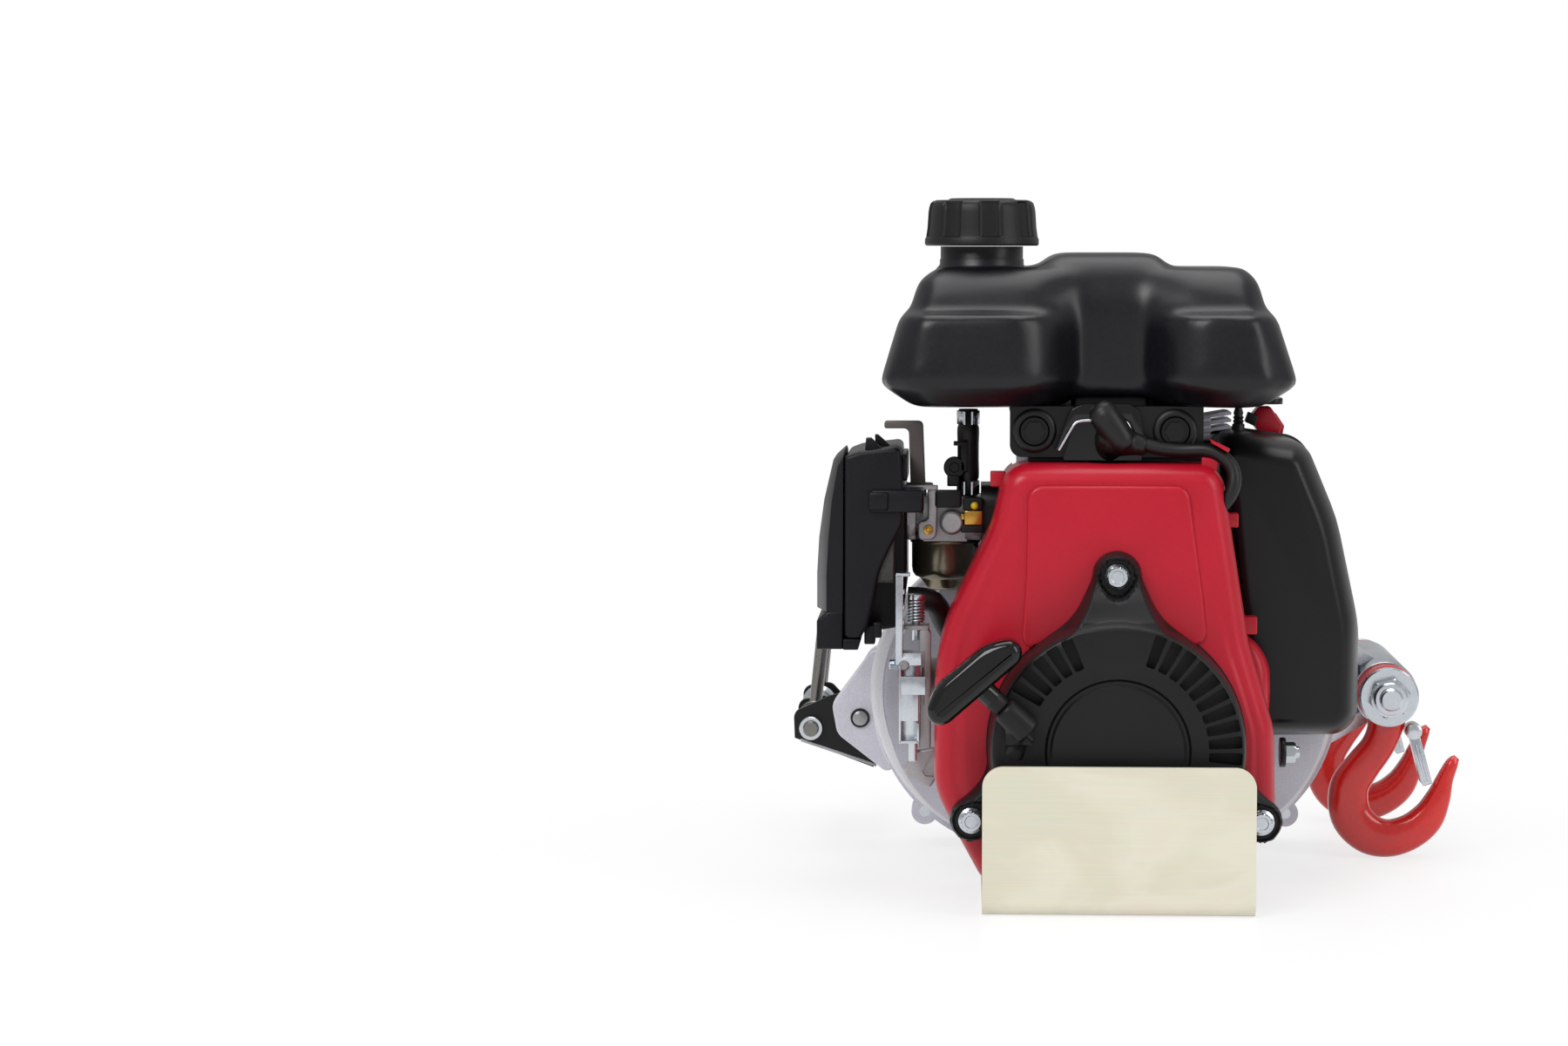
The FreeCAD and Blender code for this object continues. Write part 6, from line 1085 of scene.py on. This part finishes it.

# guide pins: the ear's pin in a black ring painted as the shade of the gap around it, the roller's bolt with
# a round end, the keeper rod in its eyes
guide = {"pin": (-129.3, 0, 69.7), "bolt": (-155.7, 0, 63), "front": 208.75, "rear": 288.25, "bend": 28,
         "rod": 3.5, "hexStart": 292.51, "flat": 7.1, "foot": (-155.2, 0, 70), "crown": (-150.5, 0, 116)}
pinProfile = [(0.6, 145.9), (3.3, 145.9), (3.9, 146.3), (4.1, 147), (4.1, 149), (5, 149.01), (5, 163),
              (7, 163.01), (7, 166), (0.6, 166.01)]
boltProfile = [(0.6, 152.4), (3.5, 152.4), (4.2, 153), (4.2, 158), (5, 158.01), (5, 292.5), (8.2, 292.52),
               (8.2, 297.9), (7.6, 298.4), (0.6, 298.5)]
guideParts = [lathe(pinProfile, guide["pin"], 48),
              hexBolt(guide["bolt"], depthAxis, boltProfile, guide["hexStart"], guide["flat"])]
for y in (204.5, 284.02):
    rodEye = [(5.1, y), (8.5, y), (9, y + 0.5), (9, y + 8), (8.5, y + 8.46), (5.1, y + 8.46)]
    guideParts.append(lathe(rodEye, guide["bolt"], 56, closed=True))
newPiece("guidePins", guideParts, groundSteel, "machined_steel", "guide_pins")
foot, crown = Vector(guide["foot"]), Vector(guide["crown"])
low = crown.lerp(foot, guide["bend"] / (crown - foot).length)
near, far = guide["front"], guide["rear"]
rodRoute = [(foot, near), (low, near), (crown, near), (crown, near + guide["bend"]),
            (crown, far - guide["bend"]), (crown, far), (low, far), (foot, far)]
newLine("keeperRod", [(p.x, y, p.z) for p, y in rodRoute], guide["rod"], groundSteel, "machined_steel",
        "guide_pins")
collar = [(4.3, 155), (5.9, 155), (6.3, 155.5), (6.3, 158.9), (4.3, 158.9)]
newPiece("boltCollar", lathe(collar, guide["bolt"], 48, closed=True), zincClear, "zinc_steel")
# black ring around the ear's pin: painted shade in the gap where the pin meets the casting
pinShadeRing = [(3.9, 146.6), (4.9, 146.6), (5.1, 147), (5.1, 149), (3.9, 149)]
newPiece("pinShadeRing", lathe(pinShadeRing, guide["pin"], 48, closed=True), dipBlack, "black_sheet")
pinFace = [(0.6, 145.5), (3.3, 145.5), (3.9, 146), (3.9, 146.8), (0.6, 146.8)]
newPiece("pinFace", lathe(pinFace, guide["pin"], 48), castPale, "machined_steel")
# pale strip on the black rope guide's front edge: painted highlight where the tray's edge catches the light
guideEdgeHighlight = [(-161.6, 57.2), (-161.2, 55.6), (-121, 42.2), (-121, 43.8)]
newPiece("guideEdgeHighlight", prism(guideEdgeHighlight, 158.6, 166, 0.4), castPale, "zinc_steel")

# shaft seal and filter element
sealProfile = [(16.4, 208.1), (20.9, 208.1), (20.9, 212.9), (19.4, 212.9), (18.6, 211.2), (16.9, 211.6)]
newPiece("shaftSeal", lathe(sealProfile, (0, 0, 77), 72, closed=True), rubberBlack, "black_rubber",
         "shaft_seal", sharp=50)
newPiece("airFilter", softBlock(block(-123.4, -109.2, 22.8, 109.2, 152.2, 215.2), 2), foamGrey,
         "filter_foam", "air_filter")
print("flange, seal and filter made")
# studio: long lens from the front, white sheet and soft boxes
studio = {"place": (-72.3, -1965, 323), "lens": 92, "sensor": 36, "clip": 50, "yaw": 2.64, "pitch": 4.05,
          "floorSize": 8.0, "floorDrop": 0.2, "glowCentre": (0.0, 0.1, 0.0), "glowFrom": 0.1, "glowTo": 0.42,
          "nearGlow": 0.72, "fill": 0.5, "aim": (0, 0.08, 0.15)}
yaw = math.radians(studio["yaw"])
pitch = math.radians(studio["pitch"])
look = Vector((-math.sin(yaw) * math.cos(pitch), math.cos(yaw) * math.cos(pitch), -math.sin(pitch)))
camera = bpy.data.objects.new("studioCamera", bpy.data.cameras.new("studioCamera"))
camera.data.lens = studio["lens"]
camera.data.sensor_width = studio["sensor"]
camera.data.clip_end = studio["clip"]
camera.location = Vector(studio["place"]) * mm
camera.rotation_euler = look.to_track_quat("-Z", "Y").to_euler()
bpy.context.collection.objects.link(camera)
bpy.context.scene.camera = camera

floorMesh = bpy.data.meshes.new("studioFloor")
half = studio["floorSize"] / 2
floorMesh.from_pydata([(-half, -half, 0), (half, -half, 0), (half, half, 0), (-half, half, 0)], [],
                      [(0, 1, 2, 3)])
floor = bpy.data.objects.new("studioFloor", floorMesh)
floor.location.z = -studio["floorDrop"] * mm
bpy.context.collection.objects.link(floor)
# white acrylic sheet: pure white to the camera, with a faint shadow and sheen
acrylic = bpy.data.materials.new("acrylicSheet")
acrylic.use_nodes = True
tree = acrylic.node_tree
sheet = tree.nodes["Principled BSDF"]
sheet.inputs["Base Color"].default_value = linear("#f6f6f6")
sheet.inputs["Roughness"].default_value = 0.35
glow = addNode(tree, "ShaderNodeEmission", {"Color": linear("#ffffff"), "Strength": 1.0})
rays = addNode(tree, "ShaderNodeLightPath")
seen = addNode(tree, "ShaderNodeMath", {"operation": "MAXIMUM"},
               {0: rays.outputs["Is Camera Ray"], 1: rays.outputs["Is Glossy Ray"]})
spot = addNode(tree, "ShaderNodeTexCoord").outputs["Object"]
away = addNode(tree, "ShaderNodeVectorMath", {"operation": "DISTANCE", 1: studio["glowCentre"]}, {0: spot})
glowSpan = {"interpolation_type": "SMOOTHSTEP", "From Min": studio["glowFrom"], "From Max": studio["glowTo"],
            "To Min": studio["nearGlow"], "To Max": 1.0}
reach = addNode(tree, "ShaderNodeMapRange", glowSpan, {"Value": away.outputs["Value"]})
share = addNode(tree, "ShaderNodeMath", {"operation": "MULTIPLY"},
                {0: seen.outputs[0], 1: reach.outputs["Result"]})
blendNode = addNode(tree, "ShaderNodeMixShader", None,
                    {0: share.outputs[0], 1: sheet.outputs[0], 2: glow.outputs[0]})
tree.links.new(blendNode.outputs[0], tree.nodes["Material Output"].inputs["Surface"])
floorMesh.materials.append(acrylic)

world = bpy.data.worlds.new("studioWorld")
bpy.context.scene.world = world
world.use_nodes = True
tree = world.node_tree
rays = addNode(tree, "ShaderNodeLightPath")
clear = addNode(tree, "ShaderNodeMath", {"operation": "MAXIMUM"},
                {0: rays.outputs["Is Camera Ray"], 1: rays.outputs["Is Transmission Ray"]})
strength = addNode(tree, "ShaderNodeMapRange", {"To Min": studio["fill"], "To Max": 1.0},
                   {"Value": clear.outputs[0]})
back = tree.nodes["Background"]
back.inputs["Color"].default_value = linear("#ffffff")
tree.links.new(strength.outputs["Result"], back.inputs["Strength"])

softBoxes = {
    "keyBox": {"place": (-0.9, -1.3, 1.5), "size": (0.9, 0.9), "power": 22},
    "sideBox": {"place": (1.3, -0.8, 0.9), "size": (0.6, 1.2), "power": 8},
    "topBox": {"place": (0.0, 0.3, 1.7), "size": (1.2, 1.2), "power": 13},
}
for name, box in softBoxes.items():
    lamp = bpy.data.lights.new(name, "AREA")
    lamp.shape = "RECTANGLE"
    lamp.size, lamp.size_y = box["size"]
    lamp.energy = box["power"]
    holder = bpy.data.objects.new(name, lamp)
    holder.location = box["place"]
    towards = Vector(studio["aim"]) - Vector(box["place"])
    holder.rotation_euler = towards.to_track_quat("-Z", "Y").to_euler()
    bpy.context.collection.objects.link(holder)
bpy.context.scene.view_settings.view_transform = "Standard"
print("studio set")
